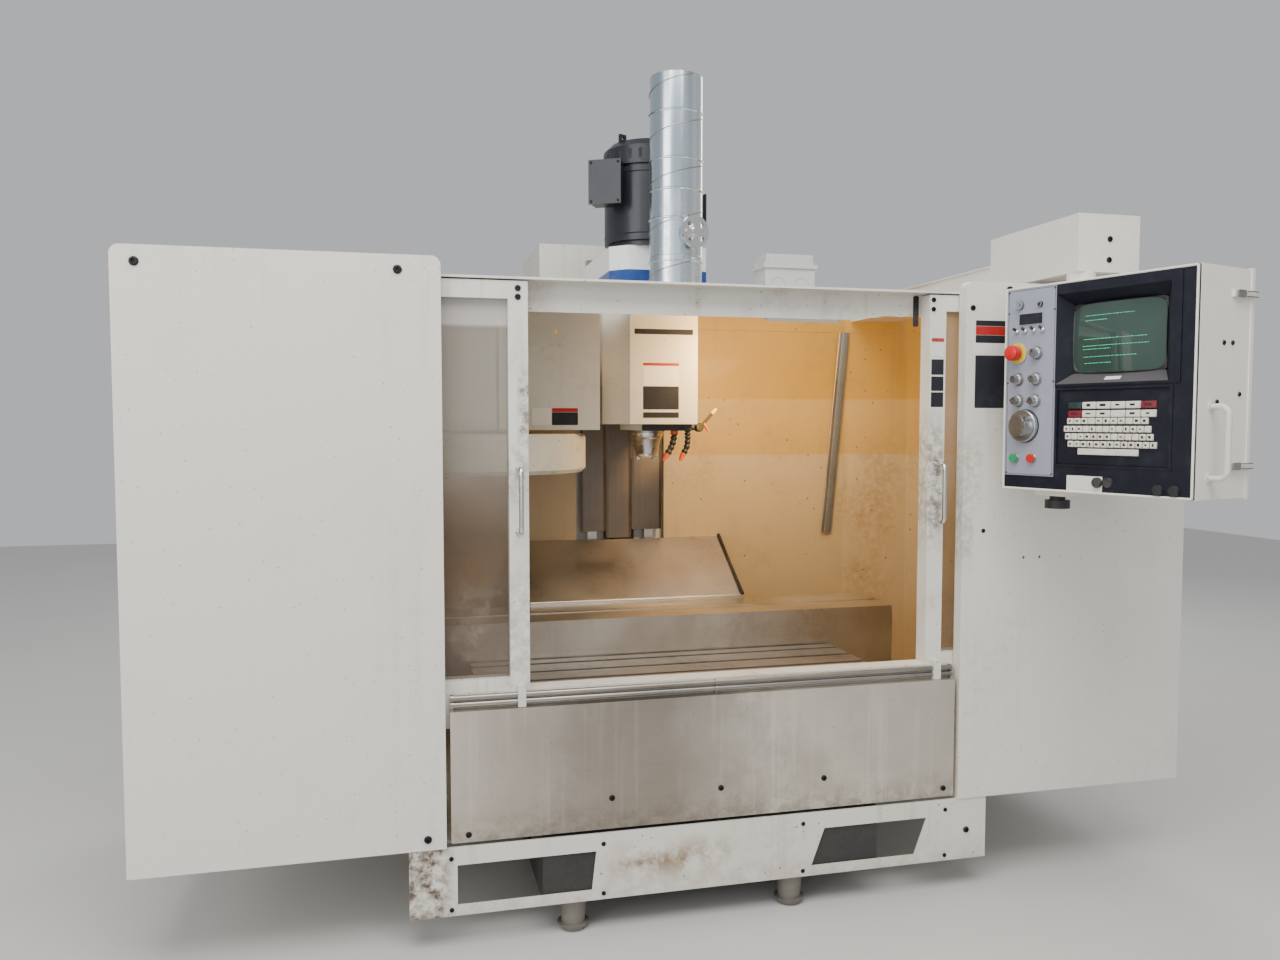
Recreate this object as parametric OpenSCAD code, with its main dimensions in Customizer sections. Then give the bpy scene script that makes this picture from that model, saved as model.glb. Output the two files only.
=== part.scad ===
// Vertical machining centre with open sliding doors, a swing-out control pendant and a tool carousel.
// Millimetres. +X runs to the right along the front, +Y to the back, +Z up from the floor.

/* [Enclosure] */
// Width of each of the two front panels
panel_w = 736; // [700:2:800]
// Width of the door opening between the front panels
opening_w = 1428; // [1400:2:1440]
// Height of the enclosure's floor pan above the floor
pan_z = 265; // [255:5:275]
// Height of the top edge of the left front panel
left_panel_top = 1738; // [1710:2:1760]
// Height of the top edge of the right front panel
right_panel_top = 1725; // [1705:5:1730]
// Depth of the folded edges of the front panels
panel_fold = 35; // [25:1:40]
// Radius of the upper corners of the front panels
panel_corner = 22; // [8:1:40]
// Thickness of the sheet metal
sheet = 3; // [2:0.5:4]
// Height of the lower edge of the base fascia
fascia_bottom = 88; // [60:1:120]
// Width of the base fascia
fascia_w = 1614; // [1560:2:1700]
// Height of the left cut-out in the fascia
slot_h = 102; // [80:2:120]
// Width of the left cut-out in the fascia
slot_w_left = 357; // [250:1:380]
// Width of the right cut-out in the fascia
slot_w_right = 349; // [250:1:380]
// Top of the splash panel under the doors
splash_top = 610; // [590:2:620]
// Height of the machine's front frame, where the top track is
frame_top = 1700; // [1690:2:1704]
// Lower edge of the header
header_bottom = 1620; // [1600:2:1640]

/* [Doors] */
// Height of the lower edge of the doors
door_bottom = 650; // [648:1:660]
// Height of the upper edge of the doors
door_top = 1690; // [1660:2:1696]
// Depth of the door frames
door_d = 50; // [40:1:52]
// Width of a door frame's leading post
post_w = 50; // [40:1:60]
// How far the left door stands in the opening when it is open
left_door_in = 217; // [60:1:300]
// How far the right door stands in the opening when it is open
right_door_in = 87; // [60:1:120]
// Diameter of the two guide bars in front of the splash panel
guide_d = 14; // [10:0.5:16]
// Radial clearance between a guide bar and a door clip
guide_clearance = 0.5; // [0.3:0.1:0.8]
// Height of the D handles
handle_h = 165; // [120:5:220]
// Diameter of the rod of the D handles
handle_rod = 12; // [8:1:16]
// Stand-off of the D handles
handle_reach = 48; // [40:1:60]

/* [Machine] */
// Width of the base casting
base_w = 940; // [900:10:980]
// Height of the base casting's top
base_top = 340; // [330:2:350]
// Width of the table
table_w = 1219; // [1000:1:1250]
// Depth of the table
table_d = 508; // [450:1:520]
// Height of the table's top
table_z = 580; // [570:1:590]
// Thickness of the table
table_t = 70; // [60:1:75]
// Front edge of the table as it is parked
table_y = 130; // [120:1:140]
// Width of a T-slot's neck
slot_neck = 18; // [14:1:22]
// Pitch of the T-slots
slot_pitch = 100; // [80:5:110]
// Distance of the spindle axis from the front plane
spindle_y = 800; // [790:1:810]
// Lower face of the head
head_z = 1330; // [1320:2:1350]
// Width of the head casting
head_w = 250; // [220:2:254]
// Diameter of the spindle quill's bore in the head
quill_d = 128; // [110:1:140]
// Radial running clearance of shafts
run_clearance = 0.06; // [0.03:0.01:0.1]
// Diameter of the spindle motor
motor_d = 300; // [260:5:310]
// Height of the spindle motor
motor_h = 335; // [320:1:400]
// Height of the belt guard's top
guard_top = 1900; // [1880:2:1920]
// Diameter of the tool carousel
carousel_d = 660; // [600:10:680]
// Number of tool pockets in the carousel
pockets = 20; // [12:1:24]
// Width of the sloping apron behind the table
apron_w = 770; // [700:5:860]
// How far the spindle nose stands out under the head
nose_out = 120; // [60:5:130]

/* [Duct] */
// Diameter of the exhaust duct
duct_d = 160; // [125:5:180]
// Length of the exhaust duct above the roof
duct_h = 670; // [590:5:800]
// Distance of the duct's axis from the front plane
duct_y = 470; // [460:1:480]

/* [Pendant] */
// Width of the control pendant
pendant_w = 528; // [520:1:540]
// Height of the control pendant
pendant_h = 538; // [530:1:560]
// Depth of the control pendant
pendant_d = 214; // [200:1:220]
// Height of the pendant's underside
pendant_z = 1155; // [1130:1:1160]
// Angle of the pendant's face to the machine's front
pendant_angle = 72.7; // [60:0.1:80]
// Diameter of the pendant's swivel post
swivel_d = 60; // [50:1:64]
// Diameter of the jog handwheel
wheel_d = 86; // [70:1:92]
// Diameter of the small selector knobs
knob_d = 30; // [22:1:34]
// Width of the control arm
arm_w = 189; // [170:1:200]

/* [Hidden] */
$fn = 48;
paint = [0.85, 0.84, 0.79];
steel = [0.72, 0.73, 0.73];
iron = [0.42, 0.44, 0.45];
dark = [0.10, 0.11, 0.15];
navy = [0.07, 0.08, 0.13];
chrome = [0.8, 0.8, 0.82];
gap = 0.3;
opening_half = opening_w / 2;
x_half = opening_half + panel_w;
door_w = panel_w + 12;
left_door_x = -opening_half + left_door_in - door_w;
right_door_x = opening_half - right_door_in;
cabinet_back = 1900;
cabinet_x = [360, x_half - 20];
cabinet_z = [380, frame_top + 20];
cabinet_wall = 20;
door_depth = 22;
hinge_z = [480, 1040, 1600];
knuckle_d = 16;
knuckle_h = 40;
hinge_x = x_half - 13;
hinge_y = cabinet_back - 10;
hinge_pin = 8;
// The pendant's near side with its handle is the foremost point of the machine
pendant_x = x_half - 662;
pendant_y = -84;
pendant_handle_reach = 42;
pendant_handle_in = 50;
pendant_handle_rod = 14;
front_y = pendant_y - (pendant_w + pendant_handle_reach) * sin(pendant_angle)
    + pendant_handle_in * cos(pendant_angle) - pendant_handle_rod / 2;
middle_y = (front_y + cabinet_back) / 2;
// Planes from front to back: the skin under the doors, the base casting, the doors
skin_y = 4;
base_front = 10;
base_back = 1800;
base_step = 60;
upper_front = 105;
door_y = 40;
door_back = door_y + door_d;
frame_back = 95;
track_y = panel_fold + 1;
guide_y = 24;
guide_z = [640, 623];
rail_low = 30;
rail_high = 45;
groove = 12;
clip_w = 20;
pan_back = 1226;
duct_x = 10;
duct_t = 2;
damper_z = 200;
damper_turn = 20;
damper_pin = 12;
roof_back = 600;
wall_y = 1205;
column_y = 1240;
column_half = 300;
column_foot = 40;
column_back = 1740;
column_top = 2000;
column_wall = 90;
screw_window = 60;
side_front = 35;
skin_edge = 12;
rail_w = 35;
rail_h = 35;
y_rail_x = 300;
y_rail_front = 140;
y_rail_length = 1040;
z_rail_x = 110;
x_rail_y = [table_y + 110, table_y + table_d - 110];
saddle_z = base_top + rail_h + 8;
saddle_top = table_z - table_t - rail_h - 6;
truck_drop = 28;
truck_length = 120;
saddle_half = 440;
cover_back = 1183;
way_cut = 170;
cover_z = 700;
cover_t = 2;
cover_lug = 12;
middle_cover = [table_y + table_d + 137, table_y + table_d + 277];
apron_y = middle_cover[1] - 15;
apron_z = [cover_z + 12, cover_z + 195];
bar_y = 670;
bar_d = 26;
bar_h = 22;
lever_pin = 10;
head_back = 1186;
head_front = 620;
head_top = guard_top - 150;
belt_y = 640;
belt_x = [-150, 160];
belt_back = 1150;
motor_y = 750;
pilot_d = 90;
carousel_x = -560;
carousel_y = 720;
carousel_z = 1180;
carousel_h = 120;
carousel_shaft = 40;
changer_x = [-520, -210];
changer_y = [550, 640];
changer_z = [1312, frame_top - 10];
changer_beam_z = 1480;
handle_z = 1055;
arm_x = x_half - 512;
arm_front = -170;
arm_z = frame_top + 35;
arm_rim = arm_z + 74;
head_left = 176;
quill_boss = 50;
arm_top = arm_z + 153;
arm_head_back = 235;
arm_back = 1500;
swivel_x = x_half - 475;
swivel_y = -135;
plate_t = 3;
bezel_t = 8;
// The recess around the picture tube: its mouth, its floor and its depth
well_x = [160, 464];
well_z = [276, 506];
tube_x = [187, 437];
tube_z = [303, 479];
well_depth = 25;
wall_t = 3;
// The keyboard's recess and the plate beside it
keys_x = [168, 466];
keys_z = [73, 261];
plate_x = [9, 159];
plate_z = [39, pendant_h - 7];
stem_d = 8;
clamp_at = [105, 85];
clamp_t = 16;
clamp_screw = 20;
cover_half = x_half - 600;
// The spindle nose under the head and the grip of its taper
nose_z = head_z - nose_out;
nose_d = 74;
taper_d = 44.45;
drawbar_d = 20;
pulley_d = 60;
shoulder_d = 104;
hose_link = 15;
valve_x = 150;
screw_d = 32;
face_out = bezel_t + plate_t;
key_out = 10;

module placed() translate([0, -middle_y, 0]) children();

// A block from its lowest to its highest corner
module span(x, y, z) translate([x[0], y[0], z[0]]) cube([x[1] - x[0], y[1] - y[0], z[1] - z[0]]);

function around(middle, half) = [middle - half, middle + half];

module for_both(x) for (s = [-1, 1]) translate([s * x, 0, 0]) children();

// A rod bent into a D, between two feet spaced apart along Z, standing out towards -Y
module d_handle(height, rod, reach) {
    bend = rod * 1.4;
    for (z = [0, height]) translate([0, 0, z]) rotate([90, 0, 0]) {
        cylinder(d = rod, h = reach - bend);
        cylinder(d = rod * 1.7, h = 3);
    }
    translate([0, -reach, bend]) cylinder(d = rod, h = height - 2 * bend);
    for (end = [[bend, 90], [height - bend, -90]]) translate([0, -(reach - bend), end[0]])
        rotate([180, end[1], 0]) rotate_extrude(angle = 90) translate([bend, 0]) circle(d = rod);
}

// A wall of even thickness along a path of plan points, from z0 to z1
module plan_wall(points, t, z0, z1) translate([0, 0, z0]) linear_extrude(z1 - z0)
    polygon(concat(points, [for (i = [len(points) - 1:-1:0]) points[i] + [0, t]]));

module base_casting() color(iron) placed() difference() {
    union() {
        span([-base_w / 2, base_w / 2], [base_front, base_back], [fascia_bottom, pan_z]);
        span([base_step - base_w / 2, base_w / 2 - base_step], [upper_front, base_back - 20],
            [pan_z, base_top]);
    }
    // Chip gutters between the ways
    for_both(y_rail_x - 140) span([-55, 55], [y_rail_front, y_rail_front + y_rail_length],
        [base_top - 40, base_top + 1]);
    // Cored holes through the sides
    for (y = [300, 800, 1300]) translate([0, y, 165]) rotate([0, 90, 0])
        cylinder(d = 90, h = base_w + 2, center = true);
}

module column() color(paint) placed() difference() {
    union() {
        span([-column_half, column_half], [column_y, column_back], [base_top, column_top]);
        span([-column_half - column_foot, column_half + column_foot], [column_y, column_back + 20],
            [base_top, base_top + 60]);
    }
    // The counterweight well and the window for the ball screw
    span([100 - column_half, column_half - 100], [column_y + column_wall, column_back - 60],
        [base_top + 80, column_top + 1]);
    span([-screw_window, screw_window], [column_y - 1, column_y + column_wall + 1],
        [base_top + 300, column_top - 100]);
}

module levelling_foot() {
    cylinder(d1 = 60, d2 = 84, h = 18);
    translate([0, 0, 18]) cylinder(d1 = 62, d2 = 74, h = fascia_bottom - 18);
}

module levelling_feet() color("dimgray") placed() {
    for (x = [-385, 225]) translate([x, 52, 0]) levelling_foot();
    for (x = [-385, 385], y = [900, 1700]) translate([x, y, 0]) levelling_foot();
}

// One linear guide rail along +Y with its waisted flanks
module guide_rail(length) rotate([-90, 0, 0]) linear_extrude(length)
    polygon([[-rail_w / 2, 0], [rail_w / 2, 0], [rail_w / 2, -10], [rail_w / 2 - 5, -16],
        [rail_w / 2 - 5, -22], [rail_w / 2, -27], [rail_w / 2, -rail_h], [-rail_w / 2, -rail_h],
        [-rail_w / 2, -27], [-rail_w / 2 + 5, -22], [-rail_w / 2 + 5, -16], [-rail_w / 2, -10]]);

module fixed_guide_rails() color(chrome) placed() {
    for_both(y_rail_x) translate([0, y_rail_front, base_top]) guide_rail(y_rail_length);
    for_both(z_rail_x) translate([0, column_y, 760]) rotate([90, 0, 0]) guide_rail(1180);
}

// A folded front panel with rounded upper corners and edges turned to the back
module folded_panel(x0, x1, z0, z1, corner) {
    module outline(inset) translate([x0 + inset, z0 + inset])
        rounded_top(x1 - x0 - 2 * inset, z1 - z0 - 2 * inset, corner);
    difference() {
        translate([0, panel_fold, 0]) rotate([90, 0, 0]) linear_extrude(panel_fold) outline(0);
        translate([0, panel_fold + 1, 0]) rotate([90, 0, 0]) linear_extrude(panel_fold + 1 - sheet)
            outline(sheet);
    }
}

module rounded_top(w, h, r) {
    square([w, h - r]);
    translate([r, 0]) square([w - 2 * r, h]);
    for (x = [r, w - r]) translate([x, h - r]) circle(r = r);
}

module left_front_panel() color(paint) placed()
    folded_panel(-x_half, -opening_half, pan_z, left_panel_top, panel_corner);

module right_front_panel() color(paint) placed() difference() {
    folded_panel(opening_half, x_half, pan_z, right_panel_top, panel_corner);
    for (x = [x_half - 539, x_half - 487]) translate([x, -1, 950]) rotate([-90, 0, 0])
        cylinder(d = 9, h = sheet + 2);
}

module base_fascia() color(paint) placed() difference() {
    union() {
        span([-fascia_w / 2, fascia_w / 2], [skin_y, skin_y + sheet], [fascia_bottom, pan_z]);
        span([-fascia_w / 2, fascia_w / 2], [skin_y, base_front], [pan_z - sheet, pan_z]);
        for_both(fascia_w / 2 - sheet / 2)
            span([-sheet / 2, sheet / 2], [skin_y, 60], [fascia_bottom, pan_z]);
        for_both(base_w / 2 - 20)
            span([-20, 20], [skin_y + sheet, base_front], [fascia_bottom + 110, pan_z - 10]);
    }
    // The two cut-outs, with leaning ends
    translate([0, base_front + 2, fascia_bottom + 28]) rotate([90, 0, 0]) linear_extrude(14) {
        left = -fascia_w / 2 + 119;
        polygon([[left, 0], [left + slot_w_left - 12, 0], [left + slot_w_left, slot_h], [left, slot_h]]);
        right = fascia_w / 2 - 187;
        polygon([[right - slot_w_right, 0], [right - 38, 0], [right, slot_h],
            [right - slot_w_right + 38, slot_h]]);
    }
}

module splash_panel() color(steel) placed() {
    splash = [skin_edge - opening_half, opening_half - skin_edge];
    span(splash, [skin_y, skin_y + sheet], [pan_z + 10, splash_top]);
    span(splash, [skin_y, track_y], [splash_top - sheet, splash_top]);
    span(splash, [skin_y, side_front], [pan_z + 10, pan_z + 10 + sheet]);
}

module door_guide_bars() color(chrome) placed() {
    reach = opening_half - skin_edge - 2;
    for (z = guide_z) translate([-reach, guide_y, z]) rotate([0, 90, 0]) cylinder(d = guide_d, h = 2 * reach);
    for (x = [-reach + 3, 0, reach - 3]) {
        span([x - 3, x + 3], [guide_y - 4, guide_y + 4], [splash_top, guide_z[0]]);
        for (z = guide_z) translate([x - 4, guide_y, z]) rotate([0, 90, 0])
            cylinder(d = guide_d + 5, h = 8);
    }
}

module front_frame() color(paint) placed() difference() {
    union() {
        // The lower sill, the header and its track, and the end posts
        span([-x_half + 10, x_half - 10], [track_y, frame_back], [splash_top - 50, door_bottom - gap]);
        span([-opening_half, opening_half], [frame_back, frame_back + sheet], [header_bottom, frame_top]);
        span([-x_half + 10, x_half - 10], [track_y - 1, frame_back + sheet], [door_top + 4, frame_top]);
        for_both(x_half - 31.5) span([-21.5, 21.5], [side_front, frame_back], [pan_z + sheet, frame_top]);
    }
    // The torn stretch at the right end of the header's lower edge
    translate([0, frame_back + sheet + 1, header_bottom]) rotate([90, 0, 0]) linear_extrude(sheet + 2)
        polygon([for (p = [[-285, -1], [-269, 9], [-225, 8], [-195, 15], [-145, 12], [-115, 21], [-55, 17],
            [1, 24], [1, -1]]) [opening_half + p[0], p[1]]]);
}

module side_panels() color(paint) placed() for (s = [-1, 1]) mirror([s < 0 ? 1 : 0, 0, 0]) {
    span([x_half - sheet, x_half], [side_front, pan_back], [pan_z + sheet, frame_top]);
    span([600, x_half], [pan_back, pan_back + sheet], [pan_z + sheet, frame_top]);
    for (z = [pan_z + sheet, frame_top - sheet])
        span([x_half - 40, x_half], [frame_back + sheet, pan_back], [z, z + sheet]);
}

module inner_walls() color(paint) placed() difference() {
    side = [[x_half - 130, frame_back + 10], [x_half - 160, 900], [x_half - 290, 1150],
        [x_half - 535, wall_y]];
    plan_wall(concat([for (p = side) [-p[0], p[1]]], [for (i = [3:-1:0]) side[i]]), sheet, pan_z + sheet,
        frame_top - 6);
    span([-way_cut, way_cut], [wall_y - 10, wall_y + 10], [pan_z, frame_top]);
    span([base_step - 1 - base_w / 2, base_w / 2 - base_step + 1], [wall_y - 10, wall_y + 10],
        [pan_z, base_top + 50]);
}

module roof_panel() color(paint) placed() difference() {
    union() {
        span([-x_half + 40, x_half - 40], [frame_back + sheet, roof_back], [frame_top - sheet, frame_top]);
        span([250 - x_half, x_half - 250], [roof_back - sheet, roof_back], [frame_top - 8, frame_top]);
    }
    translate([duct_x, duct_y, frame_top - 20]) cylinder(d = duct_d - 2 * duct_t, h = 60);
}

// The duct is a thin tube with rolled beads, a flanged foot and a damper boss
module exhaust_duct() color([0.75, 0.77, 0.78]) placed() translate([duct_x, duct_y, frame_top]) {
    r = duct_d / 2;
    rotate_extrude() {
        translate([r - duct_t, 0]) square([duct_t, duct_h]);
        square_foot(r);
        for (z = [120, 245, 330, 420, 560]) translate([r - duct_t, z]) bead();
    }
    rotate([0, 0, damper_turn]) translate([0, -r + 3, damper_z]) rotate([90, 0, 0]) difference() {
        cylinder(d = 44, h = 17);
        translate([0, 0, -1]) cylinder(d = damper_pin + 2 * run_clearance, h = 20);
    }
}

module square_foot(r) translate([r - duct_t, 0]) square([24, 3]);

module bead() polygon([[0, -4], [2, -4], [5, -1], [5, 1], [2, 4], [0, 4]]);

module damper_dial() color(chrome) placed() translate([duct_x, duct_y, frame_top + damper_z])
    rotate([0, 0, damper_turn])
    translate([0, -duct_d / 2 - 14 - gap, 0]) rotate([90, 0, 0]) {
        translate([0, 0, -12]) cylinder(d = damper_pin, h = 16);
        difference() {
            cylinder(d = 96, h = 9);
            for (a = [45:90:315]) rotate([0, 0, a]) translate([28, 0, -1]) cylinder(d = 20, h = 12);
        }
        cylinder(d = 30, h = 18);
        span([-36, 36], [-4, 4], [9, 15]);
    }

module junction_box() color([0.6, 0.61, 0.6]) placed() translate([244, 330, frame_top]) {
    box_w = 170;
    box_d = 106;
    box_h = 138;
    rim = 96;
    difference() {
        union() {
            span([6, box_w - 6], [6, box_d - 6], [0, rim]);
            span([0, box_w], [0, box_d], [rim, rim + 12]);
            span([10, box_w - 10], [10, box_d - 10], [rim + 12, box_h]);
        }
        // Knock-outs for cable glands
        for (x = [48, 122]) translate([x, 5, 46]) rotate([-90, 0, 0]) difference() {
            cylinder(d = 44, h = 2.5);
            translate([0, 0, -1]) cylinder(d = 38, h = 5);
        }
    }
    for (x = [12, box_w - 12], y = [12, box_d - 12]) translate([x, y, rim + 12]) cylinder(d = 12, h = 8);
}

module rear_apron() color(steel) placed() difference() {
    rotate([90, 0, 90]) translate([0, 0, -apron_w / 2]) linear_extrude(apron_w)
        polygon([[apron_y, apron_z[0]], [cover_back, apron_z[1]], [wall_y, apron_z[1]],
            [wall_y, apron_z[1] - 3], [cover_back + 5, apron_z[1] - 3],
            [cover_back + 5, cover_z - 140], [cover_back + 2, cover_z - 140],
            [cover_back + 2, apron_z[1] - 7], [apron_y + 2, apron_z[0] - 3.5],
            [apron_y + 2, cover_z + cover_t + 2 * gap], [apron_y, cover_z + cover_t + 2 * gap]]);
    span([-way_cut - 2, way_cut + 2], [cover_back + 1, wall_y + 1],
        [cover_z - 200, apron_z[1] + 5]);
}

module chip_pan() color(paint) placed() difference() {
    union() {
        span([-x_half + 1, x_half - 1], [side_front, pan_back], [pan_z, pan_z + sheet]);
        span([skin_edge - opening_half, opening_half - skin_edge], [side_front, side_front + sheet],
            [pan_z, pan_z + 25]);
    }
    span([base_step - gap - base_w / 2, base_w / 2 - base_step + gap],
        [upper_front - gap, pan_back + 1], [pan_z - 1, pan_z + 30]);
}

module electrical_cabinet() color(paint) placed() difference() {
    union() {
        span(cabinet_x, [pan_back + sheet, cabinet_back - door_depth], cabinet_z);
        hinge_knuckles(0);
    }
    span(cabinet_x + [cabinet_wall, -cabinet_wall], [pan_back + 2 * sheet, cabinet_back],
        cabinet_z + [cabinet_wall, -cabinet_wall]);
    hinge_bores();
}

// Hinge knuckles of the cabinet (side 0) or of its door (side 1), one above the other on one axis
module hinge_knuckles(side) for (z = hinge_z) translate([hinge_x, hinge_y, z + side * (knuckle_h + gap)]) {
    cylinder(d = knuckle_d, h = knuckle_h);
    if (side == 0) span([-knuckle_d / 2, 5 - knuckle_d / 2], [-60, 0], [0, knuckle_h]);
    else span([-40, 0], [-knuckle_d / 2, 5 - knuckle_d / 2], [0, knuckle_h]);
}

module hinge_bores() for (z = hinge_z) translate([hinge_x, hinge_y, z - 1])
    cylinder(d = hinge_pin + 2 * run_clearance, h = knuckle_h + 2 - gap);

module cabinet_door() color(paint) placed() difference() {
    leaf_x = [cabinet_x[0] + 2, cabinet_x[1] - 20];
    leaf_z = cabinet_z + [2, -2];
    fold_y = cabinet_back - door_depth + 4;
    union() {
        hinge_knuckles(1);
        for (z = hinge_z) translate([hinge_x, hinge_y, z])
            cylinder(d = hinge_pin, h = 1.5 * knuckle_h);
        span(leaf_x, [cabinet_back - door_depth + gap, fold_y], leaf_z);
        for (x = [leaf_x[0], leaf_x[1] - sheet]) span([x, x + sheet], [fold_y, cabinet_back], leaf_z);
        for (z = [leaf_z[0], leaf_z[1] - sheet]) span(leaf_x, [fold_y, cabinet_back], [z, z + sheet]);
    }
    // Louvres
    for (i = [0:7]) span([700, 1100], [cabinet_back - 30, cabinet_back],
        around(cabinet_z[1] - 316 + i * 24, 4));
}

module changer_cover() color(paint) placed() difference() {
    span(changer_x, changer_y, changer_z);
    span(changer_x + [sheet, -sheet], changer_y + [sheet, 1], changer_z + [-1, -sheet]);
    translate([changer_x[0] + 174, changer_y[0] - 1, changer_z[1] - 78]) rotate([-90, 0, 0])
        cylinder(d = 14, h = 5);
}

module changer_housing() color(paint) placed() {
    span([-700, changer_x[0] - 8], [changer_y[0] + 10, changer_y[1]], changer_z);
    span([-700, changer_x[1]], [changer_y[1], wall_y], [changer_beam_z, changer_beam_z + 80]);
    translate([carousel_x, carousel_y, carousel_z + carousel_h + gap]) difference() {
        cylinder(d = 150, h = changer_beam_z - carousel_z - carousel_h - gap);
        translate([0, 0, -1]) cylinder(d = carousel_shaft + 2 * run_clearance, h = 100);
    }
}

module tool_carousel() color([0.86, 0.84, 0.76]) placed() translate([carousel_x, carousel_y, carousel_z]) {
    r = carousel_d / 2;
    difference() {
        rotate_extrude($fn = 96) polygon([[0, 0], [r - 12, 0], [r, 12], [r, carousel_h - 10],
            [r - 10, carousel_h], [0, carousel_h]]);
        for (i = [0:pockets - 1]) rotate([0, 0, i * 360 / pockets]) translate([r - 44, 0, -1])
            cylinder(d = 46, h = 70);
    }
    translate([0, 0, carousel_h]) cylinder(d = carousel_shaft, h = 80);
}

module control_arm() color(paint) placed() difference() {
    union() {
        span([arm_x, arm_x + arm_w], [arm_front, arm_back], [arm_z, arm_rim - 4]);
        span([arm_x, arm_x + arm_w], [arm_front, arm_head_back], [arm_rim - 4, arm_top]);
        translate([swivel_x, swivel_y, pendant_z + pendant_h + 12 + gap])
            cylinder(d = swivel_d + 14, h = arm_z - pendant_z - pendant_h - 6);
        span([arm_x, arm_x + arm_w], [1300, arm_back], [cabinet_z[1], arm_z]);
    }
    span([arm_x + sheet, arm_x + arm_w - sheet], [arm_front + sheet, arm_back - sheet],
        [arm_z + 24, arm_rim - 4 + 1]);
    span([arm_x + sheet, arm_x + arm_w - sheet], [arm_front + sheet, arm_head_back - sheet],
        [arm_rim - 5, arm_top - sheet]);
    translate([swivel_x, swivel_y, arm_z - 40]) cylinder(d = swivel_d + 2 * run_clearance, h = 80);
}

module arm_lid() color(paint) placed()
    span([arm_x - 6, arm_x + arm_w + 6], [arm_head_back, arm_back], [arm_rim - 4, arm_rim]);

module head_casting() color(paint) placed() difference() {
    union() {
        span([-head_w / 2 + 4, head_w / 2 - 4], [head_front + 40, head_back - 60],
            [head_z + 4, head_top]);
        span([-150, 150], [head_back - 60, head_back], [head_z, head_top]);
        translate([0, spindle_y, head_z - 20]) cylinder(d = quill_d + quill_boss, h = 40);
        // Trucks on the guide rails
        for_both(z_rail_x) for (z = [head_z + 40, head_top - 110])
            span([-33, 33], [head_back, column_y - 8], [z, z + 100]);
    }
    translate([0, spindle_y, head_z - 30]) cylinder(d = quill_d + 2 * run_clearance, h = 500);
    for_both(z_rail_x) span([-rail_w / 2 - gap, rail_w / 2 + gap], [column_y - rail_h - gap, column_y + 1],
        [head_z, head_top + 1]);
}

module head_cover() color(paint) placed() difference() {
    // Its left side stands further out, with a slanting corner
    slant = [78, 60];
    right = head_w / 2 + 2;
    translate([0, 0, head_z]) linear_extrude(head_top - head_z)
        polygon([[-head_left, head_front + slant[1]], [slant[0] - head_left, head_front],
            [right, head_front], [right, head_back - 62], [-head_left, head_back - 62]]);
    translate([0, 0, head_z + 4]) linear_extrude(guard_top)
        polygon([[sheet - head_left, head_front + slant[1] + 1.5], [slant[0] + 1 - head_left,
            head_front + sheet], [right - sheet, head_front + sheet], [right - sheet, head_back],
            [sheet - head_left, head_back]]);
    translate([0, spindle_y, head_z - 1]) cylinder(d = quill_d + quill_boss + 2, h = 20);
}

module belt_guard() color([0.93, 0.93, 0.93]) placed() difference() {
    inner = belt_x + [sheet, -sheet];
    translate([0, 0, head_top]) linear_extrude(guard_top - head_top)
        polygon([[belt_x[0], belt_y + 50], [belt_x[0] + 50, belt_y], [belt_x[1], belt_y],
            [belt_x[1], belt_back], [belt_x[0], belt_back]]);
    translate([0, 0, head_top - 1]) linear_extrude(guard_top - head_top + 1 - sheet)
        polygon([[inner[0], belt_y + 51], [inner[0] + 48, belt_y + sheet], [inner[1], belt_y + sheet],
            [inner[1], belt_back - sheet], [inner[0], belt_back - sheet]]);
    // The opening for the motor's pilot
    translate([0, motor_y, guard_top - 100]) cylinder(d = pilot_d + 20, h = 120);
}

module spindle_motor() color(dark) placed() translate([0, motor_y, guard_top]) {
    r = motor_d / 2;
    cowl = 80;
    rotate_extrude() polygon([[0, 0], [r - 14, 0], [r - 14, 16], [r, 16], [r, motor_h - cowl - 8],
        [r - 6, motor_h - cowl - 8], [r - 6, motor_h - cowl], [r + 3, motor_h - cowl],
        [r + 3, motor_h - 22], [r - 20, motor_h], [0, motor_h]]);
    translate([0, 0, -40]) cylinder(d = pilot_d, h = 40);
    // Terminal boxes with their lids
    rotate([0, 0, -28]) {
        span([-150, -50], [-r - 38, -r + 30], [126, 258]);
        span([-153, -47], [-r - 42, -r - 36], [123, 261]);
    }
    rotate([0, 0, 8]) {
        span([r - 60, r + 18], [-70, 30], [50, 185]);
        span([r + 16, r + 22], [-73, 33], [47, 188]);
    }
    // Lifting lugs on the cowl
    for (a = [30, 210]) rotate([0, 0, a]) difference() {
        span([r - 40, r - 14], [-5, 5], [motor_h - 24, motor_h + 22]);
        translate([r - 27, 6, motor_h + 9]) rotate([90, 0, 0]) cylinder(d = 12, h = 12);
    }
}

module z_way_cover() color(steel) placed() {
    back = cover_back + 10;
    half = 157;
    for (strip = [[-half, -60, 925], [-58, 38, 900], [40, half, 930]]) translate([0, 0, strip[2]])
        linear_extrude(head_z - strip[2]) polygon([[strip[0], back], [strip[0] + 10, back - 3],
            [strip[1] - 10, back - 3], [strip[1], back], [strip[1], back + 3], [strip[0], back + 3]]);
    span([-half, half], [back, back + 4], [head_z - 130, head_z]);
    span([7 - half, half - 7], [back - 40, back], [head_z - 4, head_z]);
}

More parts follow.
